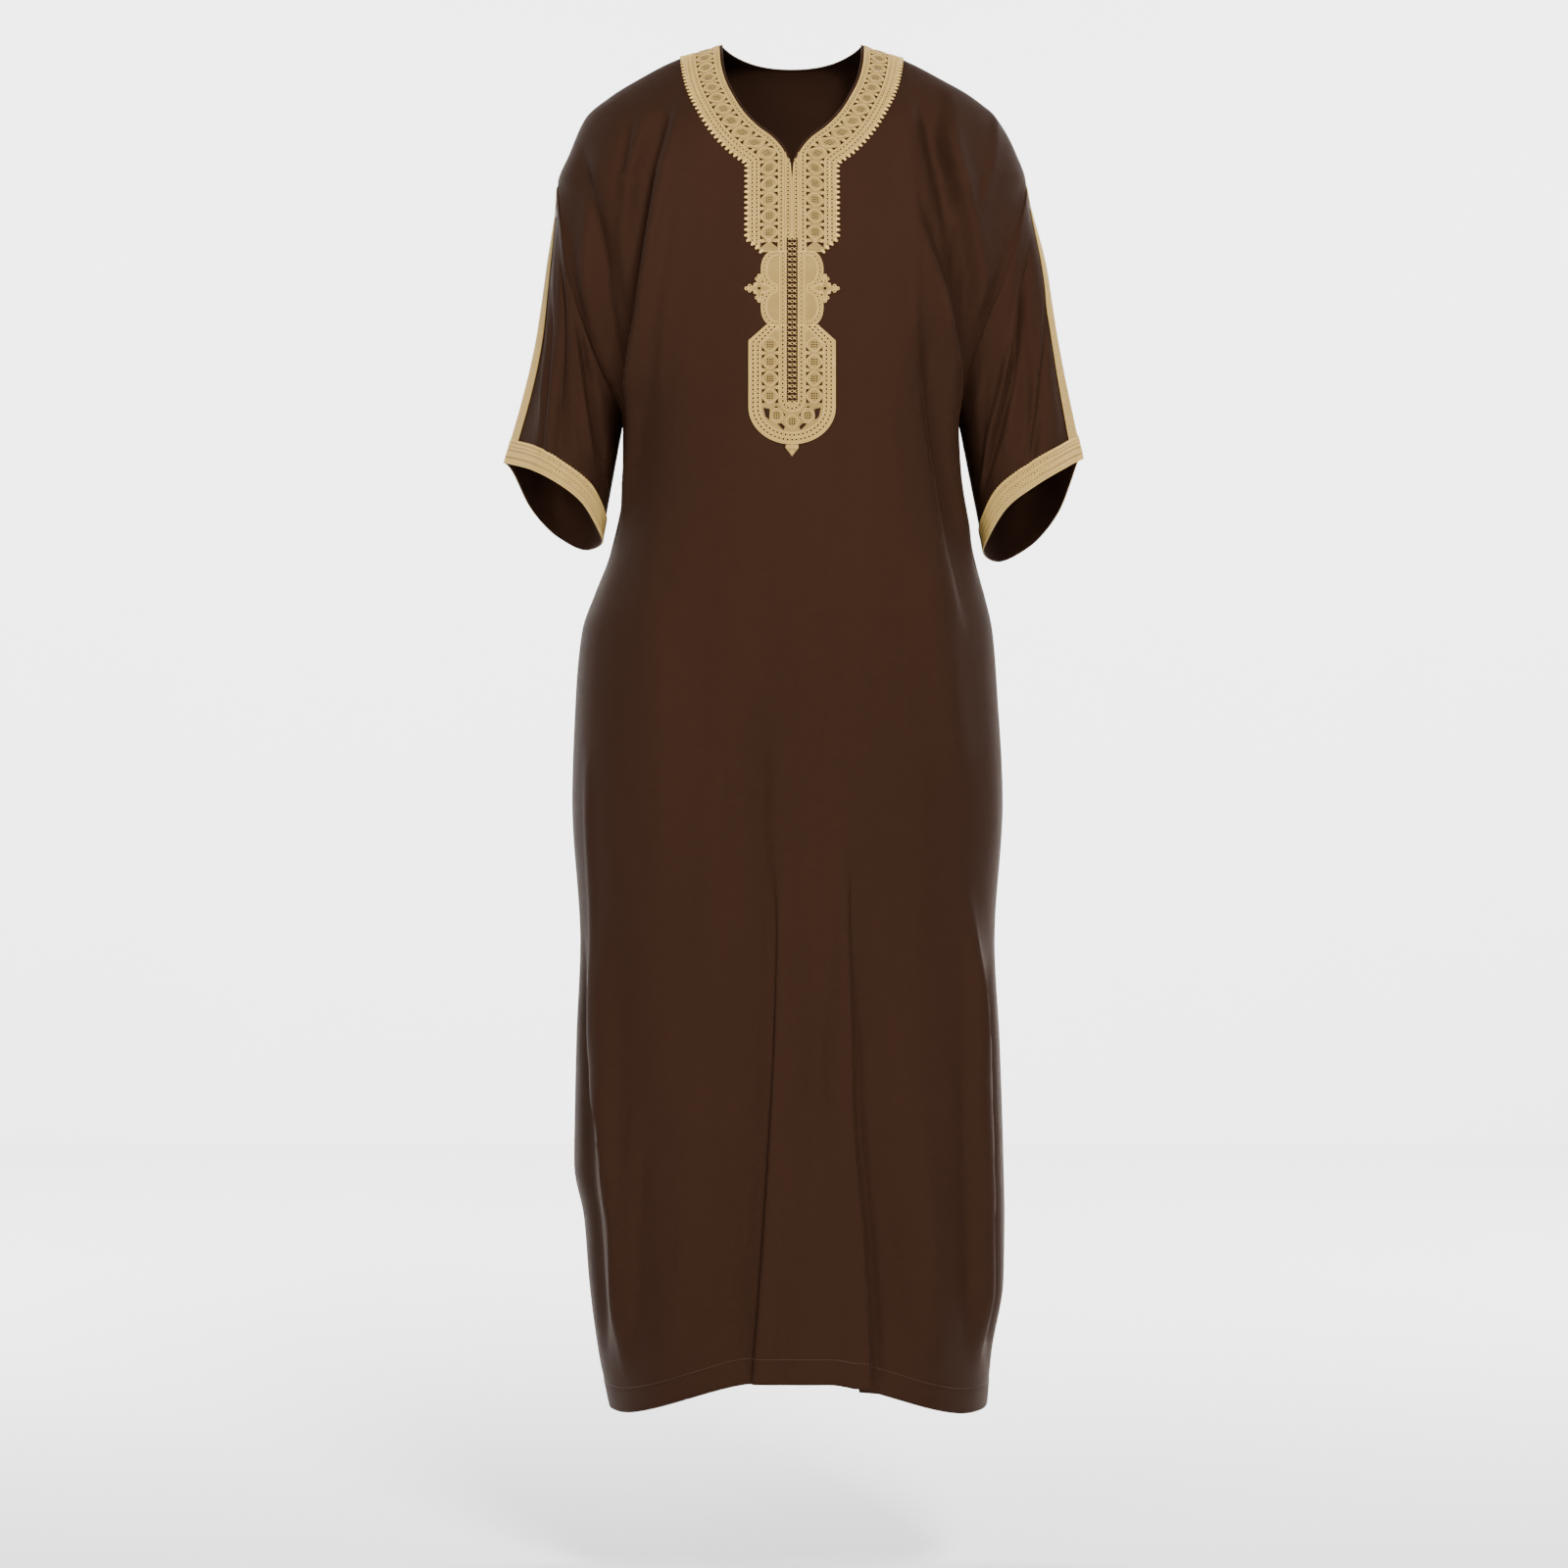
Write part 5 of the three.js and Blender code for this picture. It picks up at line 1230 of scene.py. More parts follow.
def ring_tree():
    """A ring of thread on each point."""
    tree, source, output = new_tree(
        "thread_rings",
        [
            ("Radius", "Float", 0.0015), ("Thread", "Float", 0.0005), ("Material", "Material", None),
        ],
    )
    loop = node(
        tree, "GeometryNodeCurvePrimitiveCircle", Resolution=10, Radius=source.outputs["Radius"]
    )
    thread = node(
        tree, "GeometryNodeCurvePrimitiveCircle", Resolution=4, Radius=source.outputs["Thread"]
    )
    ring = node(
        tree, "GeometryNodeCurveToMesh", Curve=loop.outputs[0], Profile_Curve=thread.outputs[0]
    )
    turn = node(tree, "FunctionNodeAxesToRotation", {"primary_axis": "Z", "secondary_axis": "X"})
    tree.links.new(named_vector(tree, "out").outputs[0], turn.inputs[0])
    tree.links.new(named_vector(tree, "along").outputs[0], turn.inputs[1])
    placed = node(
        tree, "GeometryNodeInstanceOnPoints", Points=source.outputs["Geometry"],
        Instance=ring.outputs[0], Rotation=turn.outputs[0],
    )
    finish_tree(tree, source, placed.outputs[0], output)
    return tree


def roll_tree():
    """A smooth roll of cloth along paths."""
    tree, source, output = new_tree(
        "cloth_roll", [("Radius", "Float", 0.001), ("Material", "Material", None)]
    )
    path = node(tree, "GeometryNodeMeshToCurve", Mesh=source.outputs["Geometry"])
    profile = node(
        tree, "GeometryNodeCurvePrimitiveCircle", Resolution=8, Radius=source.outputs["Radius"]
    )
    roll = node(
        tree, "GeometryNodeCurveToMesh", Curve=path.outputs[0],
        Profile_Curve=profile.outputs[0], Fill_Caps=True,
    )
    finish_tree(tree, source, roll.outputs[0], output)
    return tree


THREAD_ROW = thread_row_tree()
THREAD_RINGS = ring_tree()
CLOTH_ROLL = roll_tree()


def grown(name, tree, verts, edges, attributes, material, **inputs):
    """Runs a tree on a mesh of points or paths and keeps the result as a plain mesh."""
    seed = bpy.data.meshes.new(name + "_paths")
    seed.from_pydata(np.asarray(verts).tolist(), edges, [])
    for key, vectors in attributes.items():
        layer = seed.attributes.new(key, "FLOAT_VECTOR", "POINT")
        layer.data.foreach_set("vector", np.asarray(vectors, np.float32).ravel())
    thing = bpy.data.objects.new(name, seed)
    bpy.context.collection.objects.link(thing)
    grow = thing.modifiers.new("grow", "NODES")
    grow.node_group = tree
    values = {"Material": material, **{key.replace("_", " "): v for key, v in inputs.items()}}
    for item in tree.interface.items_tree:
        if item.in_out == "INPUT" and item.name in values:
            grow[item.identifier] = values[item.name]
    depsgraph = bpy.context.evaluated_depsgraph_get()
    mesh = bpy.data.meshes.new_from_object(thing.evaluated_get(depsgraph))
    thing.modifiers.clear()
    thing.data = mesh
    mesh.name = name
    bpy.data.meshes.remove(seed)
    return thing


def joined(paths):
    """Points of many paths in one list, with the edges that join those of each path."""
    edges, start = [], 0
    for points, _ in paths:
        edges += [(start + i, start + i + 1) for i in range(len(points) - 1)]
        start += len(points)
    return np.concatenate([p for p, _ in paths]), edges


def thread_rows(name, paths, material, spacing, length, width, height, slant=0.0, segments=6, rings=4):
    """Rows of short threads along paths, each path being points and directions out of the cloth."""
    verts, edges = joined(paths)
    out = np.concatenate([n for _, n in paths])
    return grown(
        name, THREAD_ROW, verts, edges, {"out": out}, material, Spacing=spacing, Length=length,
        Width=width, Height=height, Slant=math.radians(slant), Segments=segments, Rings=rings,
    )


def thread_rings(name, groups, material, radius, thread):
    """A ring of thread at each place; groups hold points and directions out of the cloth."""
    points = np.concatenate([p for p, _ in groups])
    out = np.concatenate([n for _, n in groups])
    along = np.cross(out, (0.0, 0.31, 0.95))
    attributes = {"out": out, "along": along}
    return grown(
        name, THREAD_RINGS, points, [], attributes, material, Radius=radius, Thread=thread
    )


# Materials
def shader_group(name, inputs, outputs):
    group = bpy.data.node_groups.new(name, "ShaderNodeTree")
    for label, kind, value in inputs:
        socket = group.interface.new_socket(
            name=label, in_out="INPUT", socket_type="NodeSocket" + kind
        )
        if value is not None:
            socket.default_value = value
    for label, kind in outputs:
        group.interface.new_socket(name=label, in_out="OUTPUT", socket_type="NodeSocket" + kind)
    return group, group.nodes.new("NodeGroupInput"), group.nodes.new("NodeGroupOutput")


def math_node(tree, operation, first, second=None):
    made = tree.nodes.new("ShaderNodeMath")
    made.operation = operation
    for socket, value in zip(made.inputs, (first, second)):
        if value is None:
            continue
        if hasattr(value, "links"):
            tree.links.new(value, socket)
        else:
            socket.default_value = value
    return made.outputs[0]


def woven_threads_group():
    """Crossing threads: their height, and a mask of the gaps between them that paints shade into those
    gaps.
    """
    group, source, output = shader_group(
        "woven_threads",
        [("Vector", "Vector", None), ("Across", "Float", 2600.0), ("Along", "Float", 2400.0)],
        [("Height", "Float"), ("GapShade", "Float")],
    )
    parts = node(group, "ShaderNodeSeparateXYZ", Vector=source.outputs["Vector"])
    uneven = node(group, "ShaderNodeTexNoise", Vector=source.outputs["Vector"], Scale=300.0)
    sway = math_node(group, "MULTIPLY", uneven.outputs[0], 1.2)
    across = math_node(group, "MULTIPLY", parts.outputs[0], source.outputs["Across"])
    along = math_node(group, "MULTIPLY", parts.outputs[1], source.outputs["Along"])
    warp = math_node(group, "SINE", math_node(group, "ADD", across, sway))
    weft = math_node(group, "SINE", math_node(group, "ADD", along, sway))
    height = math_node(group, "MULTIPLY", warp, weft)
    group.links.new(height, output.inputs["Height"])
    # painted shade: where the weave is lowest, between the threads, the mask rises to darken the colour
    gap_shade = math_node(group, "SUBTRACT", 0.5, math_node(group, "MULTIPLY", height, 0.5))
    group.links.new(math_node(group, "POWER", gap_shade, 3.0), output.inputs["GapShade"])
    return group


def uneven_tone_group():
    """Broad streaks that follow the drape, mixed with fine flecks."""
    group, source, output = shader_group(
        "uneven_tone",
        [
            ("Vector", "Vector", None), ("Streaks", "Float", 14.0), ("Stretch", "Float", 0.2),
            ("Flecks", "Float", 900.0),
        ],
        [("Broad", "Float"), ("Fine", "Float")],
    )
    stretch = node(group, "ShaderNodeCombineXYZ", X=1.0, Y=1.0, Z=source.outputs["Stretch"])
    long = node(group, "ShaderNodeVectorMath", {"operation": "MULTIPLY"})
    group.links.new(source.outputs["Vector"], long.inputs[0])
    group.links.new(stretch.outputs[0], long.inputs[1])
    broad = node(
        group, "ShaderNodeTexNoise", Vector=long.outputs[0], Scale=source.outputs["Streaks"],
        Detail=3.0, Roughness=0.55,
    )
    fine = node(
        group, "ShaderNodeTexNoise", Vector=source.outputs["Vector"],
        Scale=source.outputs["Flecks"], Detail=2.0,
    )
    group.links.new(broad.outputs[0], output.inputs["Broad"])
    group.links.new(fine.outputs[0], output.inputs["Fine"])
    return group


WOVEN = woven_threads_group()
UNEVEN = uneven_tone_group()


def place_group(tree, group, vector, **values):
    made = tree.nodes.new("ShaderNodeGroup")
    made.node_tree = group
    tree.links.new(vector, made.inputs["Vector"])
    for key, value in values.items():
        made.inputs[key].default_value = value
    return made


def colour_ramp(tree, factor, *stops):
    ramp = tree.nodes.new("ShaderNodeValToRGB")
    tree.links.new(factor, ramp.inputs[0])
    while len(ramp.color_ramp.elements) < len(stops):
        ramp.color_ramp.elements.new(0.5)
    for element, (at, colour) in zip(ramp.color_ramp.elements, stops):
        element.position = at
        element.color = (*colour, 1)
    return ramp.outputs[0]


def mix_colour(tree, factor, first, second):
    made = tree.nodes.new("ShaderNodeMix")
    made.data_type = "RGBA"
    for socket, value in ((made.inputs[0], factor), (made.inputs[6], first), (made.inputs[7], second)):
        if hasattr(value, "links"):
            tree.links.new(value, socket)
        else:
            socket.default_value = value if isinstance(value, float) else (*value, 1)
    return made.outputs[2]


def tone_at(tree, streaks, stretch, flecks):
    """The uneven tone at a place on a piece."""
    place = node(tree, "ShaderNodeTexCoord").outputs["Object"]
    return place_group(tree, UNEVEN, place, Streaks=streaks, Stretch=stretch, Flecks=flecks)


def weave_at(tree, across, along):
    """Crossing threads laid on the flat cloth, so many to the metre each way."""
    flat = node(tree, "ShaderNodeUVMap", {"uv_map": "Cloth"})
    turns = 2 * math.pi
    return place_group(tree, WOVEN, flat.outputs[0], Across=turns * across, Along=turns * along)


def set_inputs(shader, **values):
    """Sets a shader's own values by name; colours are given as three parts."""
    for key, value in values.items():
        colour = isinstance(value, tuple)
        shader.inputs[key.replace("_", " ")].default_value = (*value, 1) if colour else value


def new_material(name):
    material = bpy.data.materials.new(name)
    material.use_nodes = True
    tree = material.node_tree
    return material, tree, tree.nodes["Principled BSDF"]


def bump(tree, shader, height, distance, strength):
    made = node(tree, "ShaderNodeBump", Height=height, Distance=distance, Strength=strength)
    tree.links.new(made.outputs[0], shader.inputs["Normal"])


def brown_cloth():
    """Fine plain weave whose brown turns from reddish to olive, with a soft warm sheen and painted shade
    in the gaps between its threads.
    """
    material, tree, shader = new_material("brown_cloth")
    weave = weave_at(tree, 1900, 1700)
    hue = tone_at(tree, 5.0, 0.3, 1400.0)
    tone = tone_at(tree, 26.0, 0.12, 900.0)
    base = colour_ramp(
        tree, hue.outputs["Broad"],
        (0.36, (0.0190, 0.0096, 0.0052)), (0.50, (0.0232, 0.0103, 0.0062)),
        (0.62, (0.0272, 0.0108, 0.0072)),
    )
    darker = mix_colour(tree, tone.outputs["Broad"], base, (0.0145, 0.0066, 0.0041))
    flecked = mix_colour(tree, hue.outputs["Fine"], darker, (0.0280, 0.0128, 0.0078))
    # painted shade: the gaps between the threads are darkened to a deeper brown
    gap_shaded = mix_colour(tree, weave.outputs["GapShade"], flecked, (0.012, 0.0052, 0.0032))
    tree.links.new(gap_shaded, shader.inputs["Base Color"])
    set_inputs(
        shader, Roughness=0.62, Specular_IOR_Level=0.06, Specular_Tint=(1.0, 0.55, 0.30),
        Sheen_Weight=0.03, Sheen_Roughness=0.30, Sheen_Tint=(0.95, 0.45, 0.18),
    )
    bump(tree, shader, weave.outputs["Height"], 0.00008, 0.5)
    return material


def gold_ground(name, across, along, depth):
    """Ground of the embroidery: threads laid side by side, across and along it so many to the metre,
    with painted shade darkening the gaps between them.
    """
    material, tree, shader = new_material(name)
    weave = weave_at(tree, across, along)
    tone = tone_at(tree, 60.0, 1.0, 2500.0)
    base = colour_ramp(
        tree, tone.outputs["Broad"],
        (0.30, (0.27, 0.165, 0.042)), (0.55, (0.36, 0.23, 0.065)), (0.75, (0.45, 0.30, 0.095)),
    )
    flecked = mix_colour(tree, tone.outputs["Fine"], base, (0.40, 0.26, 0.07))
    # painted shade: the gaps between the threads are darkened to a deeper gold
    gap_shaded = mix_colour(tree, weave.outputs["GapShade"], flecked, (0.25, 0.16, 0.06))
    tree.links.new(gap_shaded, shader.inputs["Base Color"])
    set_inputs(
        shader, Roughness=0.55, Specular_Tint=(1.0, 0.85, 0.6), Sheen_Weight=0.12,
        Sheen_Tint=(1.0, 0.85, 0.6),
    )
    bump(tree, shader, weave.outputs["Height"], depth, 0.9)
    return material


def gold_thread():
    """Shiny twisted thread of the cords, rings and pegs."""
    material, tree, shader = new_material("gold_thread")
    tone = tone_at(tree, 90.0, 1.0, 3200.0)
    base = colour_ramp(
        tree, tone.outputs["Broad"],
        (0.30, (0.52, 0.335, 0.085)), (0.55, (0.62, 0.415, 0.12)), (0.75, (0.71, 0.50, 0.165)),
    )
    flecked = mix_colour(tree, tone.outputs["Fine"], base, (0.48, 0.315, 0.095))
    tree.links.new(flecked, shader.inputs["Base Color"])
    set_inputs(
        shader, Roughness=0.42, Specular_Tint=(1.0, 0.85, 0.6), Sheen_Weight=0.1,
        Sheen_Tint=(1.0, 0.88, 0.62),
    )
    bump(tree, shader, tone.outputs["Fine"], 0.0002, 0.6)
    return material


def brown_thread():
    """Sewing thread of the hem."""
    material, tree, shader = new_material("brown_thread")
    tone = tone_at(tree, 120.0, 1.0, 3000.0)
    base = colour_ramp(
        tree, tone.outputs["Broad"], (0.3, (0.030, 0.012, 0.006)), (0.7, (0.055, 0.024, 0.011))
    )
    tree.links.new(base, shader.inputs["Base Color"])
    shader.inputs["Roughness"].default_value = 0.5
    bump(tree, shader, tone.outputs["Fine"], 0.0001, 0.5)
    return material


def studio_material(name, colour):
    material, tree, shader = new_material(name)
    coordinates = node(tree, "ShaderNodeTexCoord")
    grain = node(tree, "ShaderNodeTexNoise", Vector=coordinates.outputs["Object"], Scale=3.0)
    lighter = tuple(min(1.0, part * 1.03) for part in colour)
    tree.links.new(mix_colour(tree, grain.outputs[0], colour, lighter), shader.inputs["Base Color"])
    shader.inputs["Roughness"].default_value = 0.9
    return material


CLOTH_LOOK = brown_cloth()
GROUND_LOOK = gold_ground("gold_ground", 900, 2100, 0.00025)
SATIN_LOOK = gold_ground("gold_satin", 700, 520, 0.0005)
THREAD_LOOK = gold_thread()
SEWING_LOOK = brown_thread()


def dress(thing, material):
    """Gives a finished piece its material and its body."""
    if material is not None:
        thing.data.materials.clear()
        thing.data.materials.append(material)
    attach(thing, "root")
    return thing


# Cloth pieces
def make_body():
    """The front, open at the slit, and the back."""
    front_grid = panel_grid(FRONT)
    back_grid = panel_grid(BACK)
    columns = front_grid[0].shape[1]
    slit_column = int(np.argmin(np.abs(all_places(FRONT, np.array([UNDERARM]))[0] + SLIT_HALF)))
    rows = front_grid[0].shape[0]
    skip = np.zeros((rows - 1, columns - 1), bool)
    skip[:, slit_column] = -front_grid[2][1:, slit_column, 1] < SLIT_END
    front = cloth_wall("front_cloth", front_grid, CLOTH, skip=skip)
    back = cloth_wall("back_cloth", back_grid, CLOTH, turn_over=True)
    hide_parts("front_panel")
    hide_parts("back_panel")
    for piece in (front, back):
        dress(piece, CLOTH_LOOK)
    return front, back


def make_sleeve(side, name):
    """A sleeve, with the points and directions that its braid is laid on."""
    points, normals, flat = sleeve_grid(side)
    sleeve = cloth_wall(
        "sleeve_cloth_" + name, (points, normals, flat), CLOTH, ring=True, turn_over=side == RIGHT
    )
    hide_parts("sleeve_" + name)
    dress(sleeve, CLOTH_LOOK)
    return sleeve, points, normals


front_cloth, back_cloth = make_body()
left_sleeve, left_points, left_normals = make_sleeve(LEFT, "left")
right_sleeve, right_points, right_normals = make_sleeve(RIGHT, "right")

LAID_FRONT = Laid(FRONT, 0.128, 0.450)
LAID_BACK = Laid(BACK, 0.128, 0.080)


# Embroidery
def rosette_dots(s, d):
    """The nine small holes in the middle of a rosette."""
    steps = (-1, 0, 1)
    return [circle((s + i * DOT_PITCH, d + k * DOT_PITCH), DOT_HOLE, 6) for i in steps for k in steps]


def rosette_corners(s, d, half_pitch, reach=0.0090, without=()):
    """The dark corners round a rosette, apart from those given as before or after and in or out."""
    edge = half_pitch - 0.0014
    places = [(i, k) for i in (-1, 1) for k in (-1, 1) if (i, k) not in without]
    flat = ((0.0022, reach), (edge, reach), (edge, 0.0043))
    return [np.array([(s + i * a, d + k * b) for a, b in flat]) for i, k in places]


def rosette_outline(s, d):
    """The raised edge of a rosette, as a closed flat line."""
    turn = np.linspace(0, 2 * math.pi, 25)
    reach = 0.0063 + 0.0006 * np.cos(4 * turn)
    return np.stack([s + reach * np.cos(turn), d + reach * np.sin(turn) * 1.12], axis=1)


RING_OFF = 0.0070  # distance of the small rings from the row of rosettes
OUTER_EYELETS = (0.0280, 0.0325)  # distances of the outer eyelet rows from the inner edge
OUTER_CORDS = (0.0255, 0.0303, 0.0348, 0.0366)
INNER_EYELETS = (0.0034,)
INNER_CORDS = (0.0007, 0.0060)


def band_features(first, last):
    """Rosettes, eyelets and cords along a band of braid."""
    count = max(1, round((last - first) / ROSETTE_PITCH))
    pitch = (last - first) / count
    centres = first + (np.arange(count) + 0.5) * pitch
    holes, outlines, rings = [], [], []
    for s in centres:
        holes += rosette_dots(s, ROSETTE_AT) + rosette_corners(s, ROSETTE_AT, pitch / 2)
        outlines.append(rosette_outline(s, ROSETTE_AT))
    for s in first + np.arange(1, count) * pitch:
        for k in (-1, 1):
            rings.append((s, ROSETTE_AT + k * RING_OFF))
    return holes, outlines, rings


def long_line(d, first, last):
    s = np.linspace(first, last, 160)
    return np.stack([s, np.full(len(s), d)], axis=1)


def make_neck_side(side, name):
    """The braid down one side of the V and the slit."""
    band = NeckBand(side, LAID_FRONT)
    chamfer = 0.0145
    start, end = 0.0003, band.end
    outline = [(start, 0.0), (end, 0.0), (end, BAND - chamfer), (end - chamfer, BAND), (start, BAND)]
    outline = np.array(outline)
    rosettes_end = end - (PLACKET_FOOT - ROSETTES_END)
    holes, outlines, rings = band_features(0.004, rosettes_end)
    rings += [(rosettes_end, ROSETTE_AT + k * RING_OFF) for k in (-1, 0, 1)]
    for k in (-1, 1):
        foot = [(0.0014, 0.0014), (0.0014, 0.0086), (0.0072, 0.0086)]
        holes.append(np.array([(rosettes_end + a, ROSETTE_AT + k * b) for a, b in foot]))
    eyelets = []
    cords = [long_line(d, start, end) for d in INNER_CORDS]
    for d in INNER_EYELETS:
        eyelets.append(along_line(band, long_line(d, start, end), EYELET_PITCH))
    for d in OUTER_EYELETS:
        eyelets.append(along_line(band, long_line(d, start, end - (d - BAND + chamfer)), EYELET_PITCH))
    for d in OUTER_CORDS:
        cords.append(long_line(d, start, end - max(0, d - BAND + chamfer)))
    eyelets = np.concatenate(eyelets)
    holes += [circle(e, EYELET_HOLE) for e in eyelets]
    plate = worked_plate("neck_ground_" + name, outline, holes, band)
    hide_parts("neck_braid_" + name)
    dress(plate, GROUND_LOOK)
    edge = np.concatenate(
        [long_line(BAND + 0.001, start, end - chamfer), [(end, BAND - chamfer + 0.001)]]
    )
    return dict(
        eyelets=[band(eyelets, THREAD_LIFT)],
        rings=[band(np.array(rings), THREAD_LIFT)],
        cords=[laid_path(band, line) for line in cords],
        rosettes=[laid_path(band, line, THREAD_LIFT + 0.0001) for line in outlines],
        pegs=[laid_path(band, edge, 0.0010)],
        strip=slit_strip(side, name),
    )


def slit_strip(side, name):
    """The corded strip beside the slit."""
    inner = 0.0012  # distance from the centre line at its top
    shut = 0.0001  # and lower down, where the two strips all but meet
    lattice = LATTICE_HALF + 0.0003
    outer = PLACKET_SHIFT - 0.0002
    top_inner, top_outer = 0.1395, 0.1245
    outline = np.array(
        [
            (inner, top_inner), (shut, 0.1530), (shut, LATTICE_TOP), (lattice, LATTICE_TOP),
            (lattice, PLACKET_FOOT), (outer, PLACKET_FOOT), (outer, top_outer),
        ]
    ) * (side, 1)
    eyelet_line = np.array([(0.0040, 0.132), (0.0040, LATTICE_TOP - 0.001)]) * (side, 1)
    eyelets = along_line(lay_front, eyelet_line, EYELET_PITCH)
    plate = worked_plate(
        "slit_ground_" + name, outline, [circle(e, EYELET_HOLE) for e in eyelets], lay_front
    )
    dress(plate, GROUND_LOOK)
    cords = [
        [(0.0020, 0.137), (0.0013, 0.150), (0.0007, 0.156), (0.0007, LATTICE_TOP)],
        [(0.0066, 0.127), (0.0066, PLACKET_FOOT)],
    ]
    return dict(
        eyelets=[lay_front(eyelets, THREAD_LIFT)],
        cords=[laid_path(lay_front, np.array(line) * (side, 1)) for line in cords],
    )


def lobe_line(inset):
    """The edge of the two lobes of the right half, moved in by the inset."""
    points = []
    for centre in SCALLOP_CENTRES:
        for a in np.linspace(0, math.pi, 17):
            x = SCALLOP_NOTCH - inset + (SCALLOP_OUT - SCALLOP_NOTCH) * math.sin(a)
            drop = centre - (SCALLOP_RADIUS - 0.6 * inset) * math.cos(a)
            points.append((x, min(drop, SCALLOP_END)))
    return np.array(points)


def scallop_outline():
    """Right half of the scalloped part, without its star."""
    inner = LATTICE_HALF + 0.0003
    return np.concatenate([[(inner, SCALLOP_END), (inner, SCALLOP_TOP)], lobe_line(0.0)])


STAR_ARMS = (0.0, math.pi / 2, -math.pi / 2)  # outwards, and along the embroidery both ways


def star_outline():
    """The small star beside the notch: three arms, and a root that joins it to the lobes."""
    turn = np.linspace(-math.pi, math.pi, 73)[:-1]
    arms = [(arm, STAR_ARM, 0.22) for arm in STAR_ARMS] + [(math.pi, STAR_ROOT, 0.42)]
    reach = np.full(len(turn), STAR_BODY)
    for arm, long, width in arms:
        off = np.abs(turn - arm)
        off = np.minimum(off, 2 * math.pi - off)
        reach = reach + (long - STAR_BODY) * np.exp(-((off / width) ** 2))
    return np.stack([STAR_AT[0] + reach * np.cos(turn), STAR_AT[1] + reach * np.sin(turn)], axis=1)


def star_loops():
    """Places of the three small loops at the end of each arm, and of those round the star."""
    places = []
    for arm in STAR_ARMS:
        for along, across in ((0.0094, 0.0024), (0.0094, -0.0024), (0.0126, 0.0)):
            x = STAR_AT[0] + along * math.cos(arm) - across * math.sin(arm)
            drop = STAR_AT[1] + along * math.sin(arm) + across * math.cos(arm)
            places.append((x, drop))
    for quarter in range(4):
        turn = math.pi / 4 + quarter * math.pi / 2
        places.append((STAR_AT[0] + STAR_BODY * math.cos(turn), STAR_AT[1] + STAR_BODY * math.sin(turn)))
    return places


def cartouche_outline(inset=0.0):
    """The cartouche, with its sides and its round end moved in by the inset."""
    half, neck = CARTOUCHE_HALF - inset, CARTOUCHE_NECK - inset * 1.1
    bottom = CARTOUCHE_BOTTOM - inset
    shoulder = CARTOUCHE_SHOULDER + inset * 0.3
    right = [(neck, CARTOUCHE_TOP), (half, shoulder), (half, CARTOUCHE_ROUND)]
    for a in np.linspace(0, math.pi / 2, 15)[1:]:
        right.append((half * math.cos(a), CARTOUCHE_ROUND + (bottom - CARTOUCHE_ROUND) * math.sin(a)))
    right = np.array(right)
    left = right[::-1][1:] * (-1, 1)
    return np.concatenate([right, left])


def lay_front(flat, lift):
    return LAID_FRONT(np.asarray(flat, float), lift)


def make_scallops(side, name):
    """Two lobes of satin stitch and the small star between them."""
    eyelets = along_line(lay_front, lobe_line(0.0034) * (side, 1), EYELET_PITCH)
    strip = np.array([(STRIP_EYELETS, SCALLOP_TOP), (STRIP_EYELETS, SCALLOP_END)]) * (side, 1)
    everything = np.concatenate([eyelets, along_line(lay_front, strip, EYELET_PITCH)])
    holes = [circle(e, SMALL_HOLE) for e in everything]
    plate = worked_plate("scallop_ground_" + name, scallop_outline() * (side, 1), holes, lay_front)
    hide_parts("placket_scallops_" + name)
    dress(plate, SATIN_LOOK)
    star = star_outline() * (side, 1)
    ring = np.array(STAR_AT) * (side, 1)
    star_plate = worked_plate(
        "star_ground_" + name, star, [circle(ring, 0.0016)], lay_front, spacing=0.0014
    )
    dress(star_plate, SATIN_LOOK)
    lines = [lobe_line(inset) * (side, 1) for inset in (0.0006, 0.0058)]
    for x in STRIP_CORDS:
        lines.append(np.array([(x, SCALLOP_TOP), (x, SCALLOP_END)]) * (side, 1))
    for drop, reach in ((SCALLOP_TOP, 0.0295), (SCALLOP_END, 0.0255)):
        lines.append(np.array([(0.0055, drop), (reach, drop)]) * (side, 1))
    loops = np.array(star_loops()) * (side, 1)
    return dict(
        eyelets=[lay_front(everything, THREAD_LIFT)],
        rings=[lay_front(loops, THREAD_LIFT)],
        cords=[laid_path(lay_front, line) for line in lines]
        + [laid_path(lay_front, np.concatenate([star, star[:1]]))],
    )


def strip_turn(x, top):
    """A line of the strip: down one side of the lattice, round below it and up the other side."""
    turn = np.linspace(0, math.pi, 15)
    round_end = np.stack([x * np.cos(turn), STRIP_TURN + x * np.sin(turn)], axis=1)
    return np.concatenate([[(x, top)], round_end, [(-x, top)]])


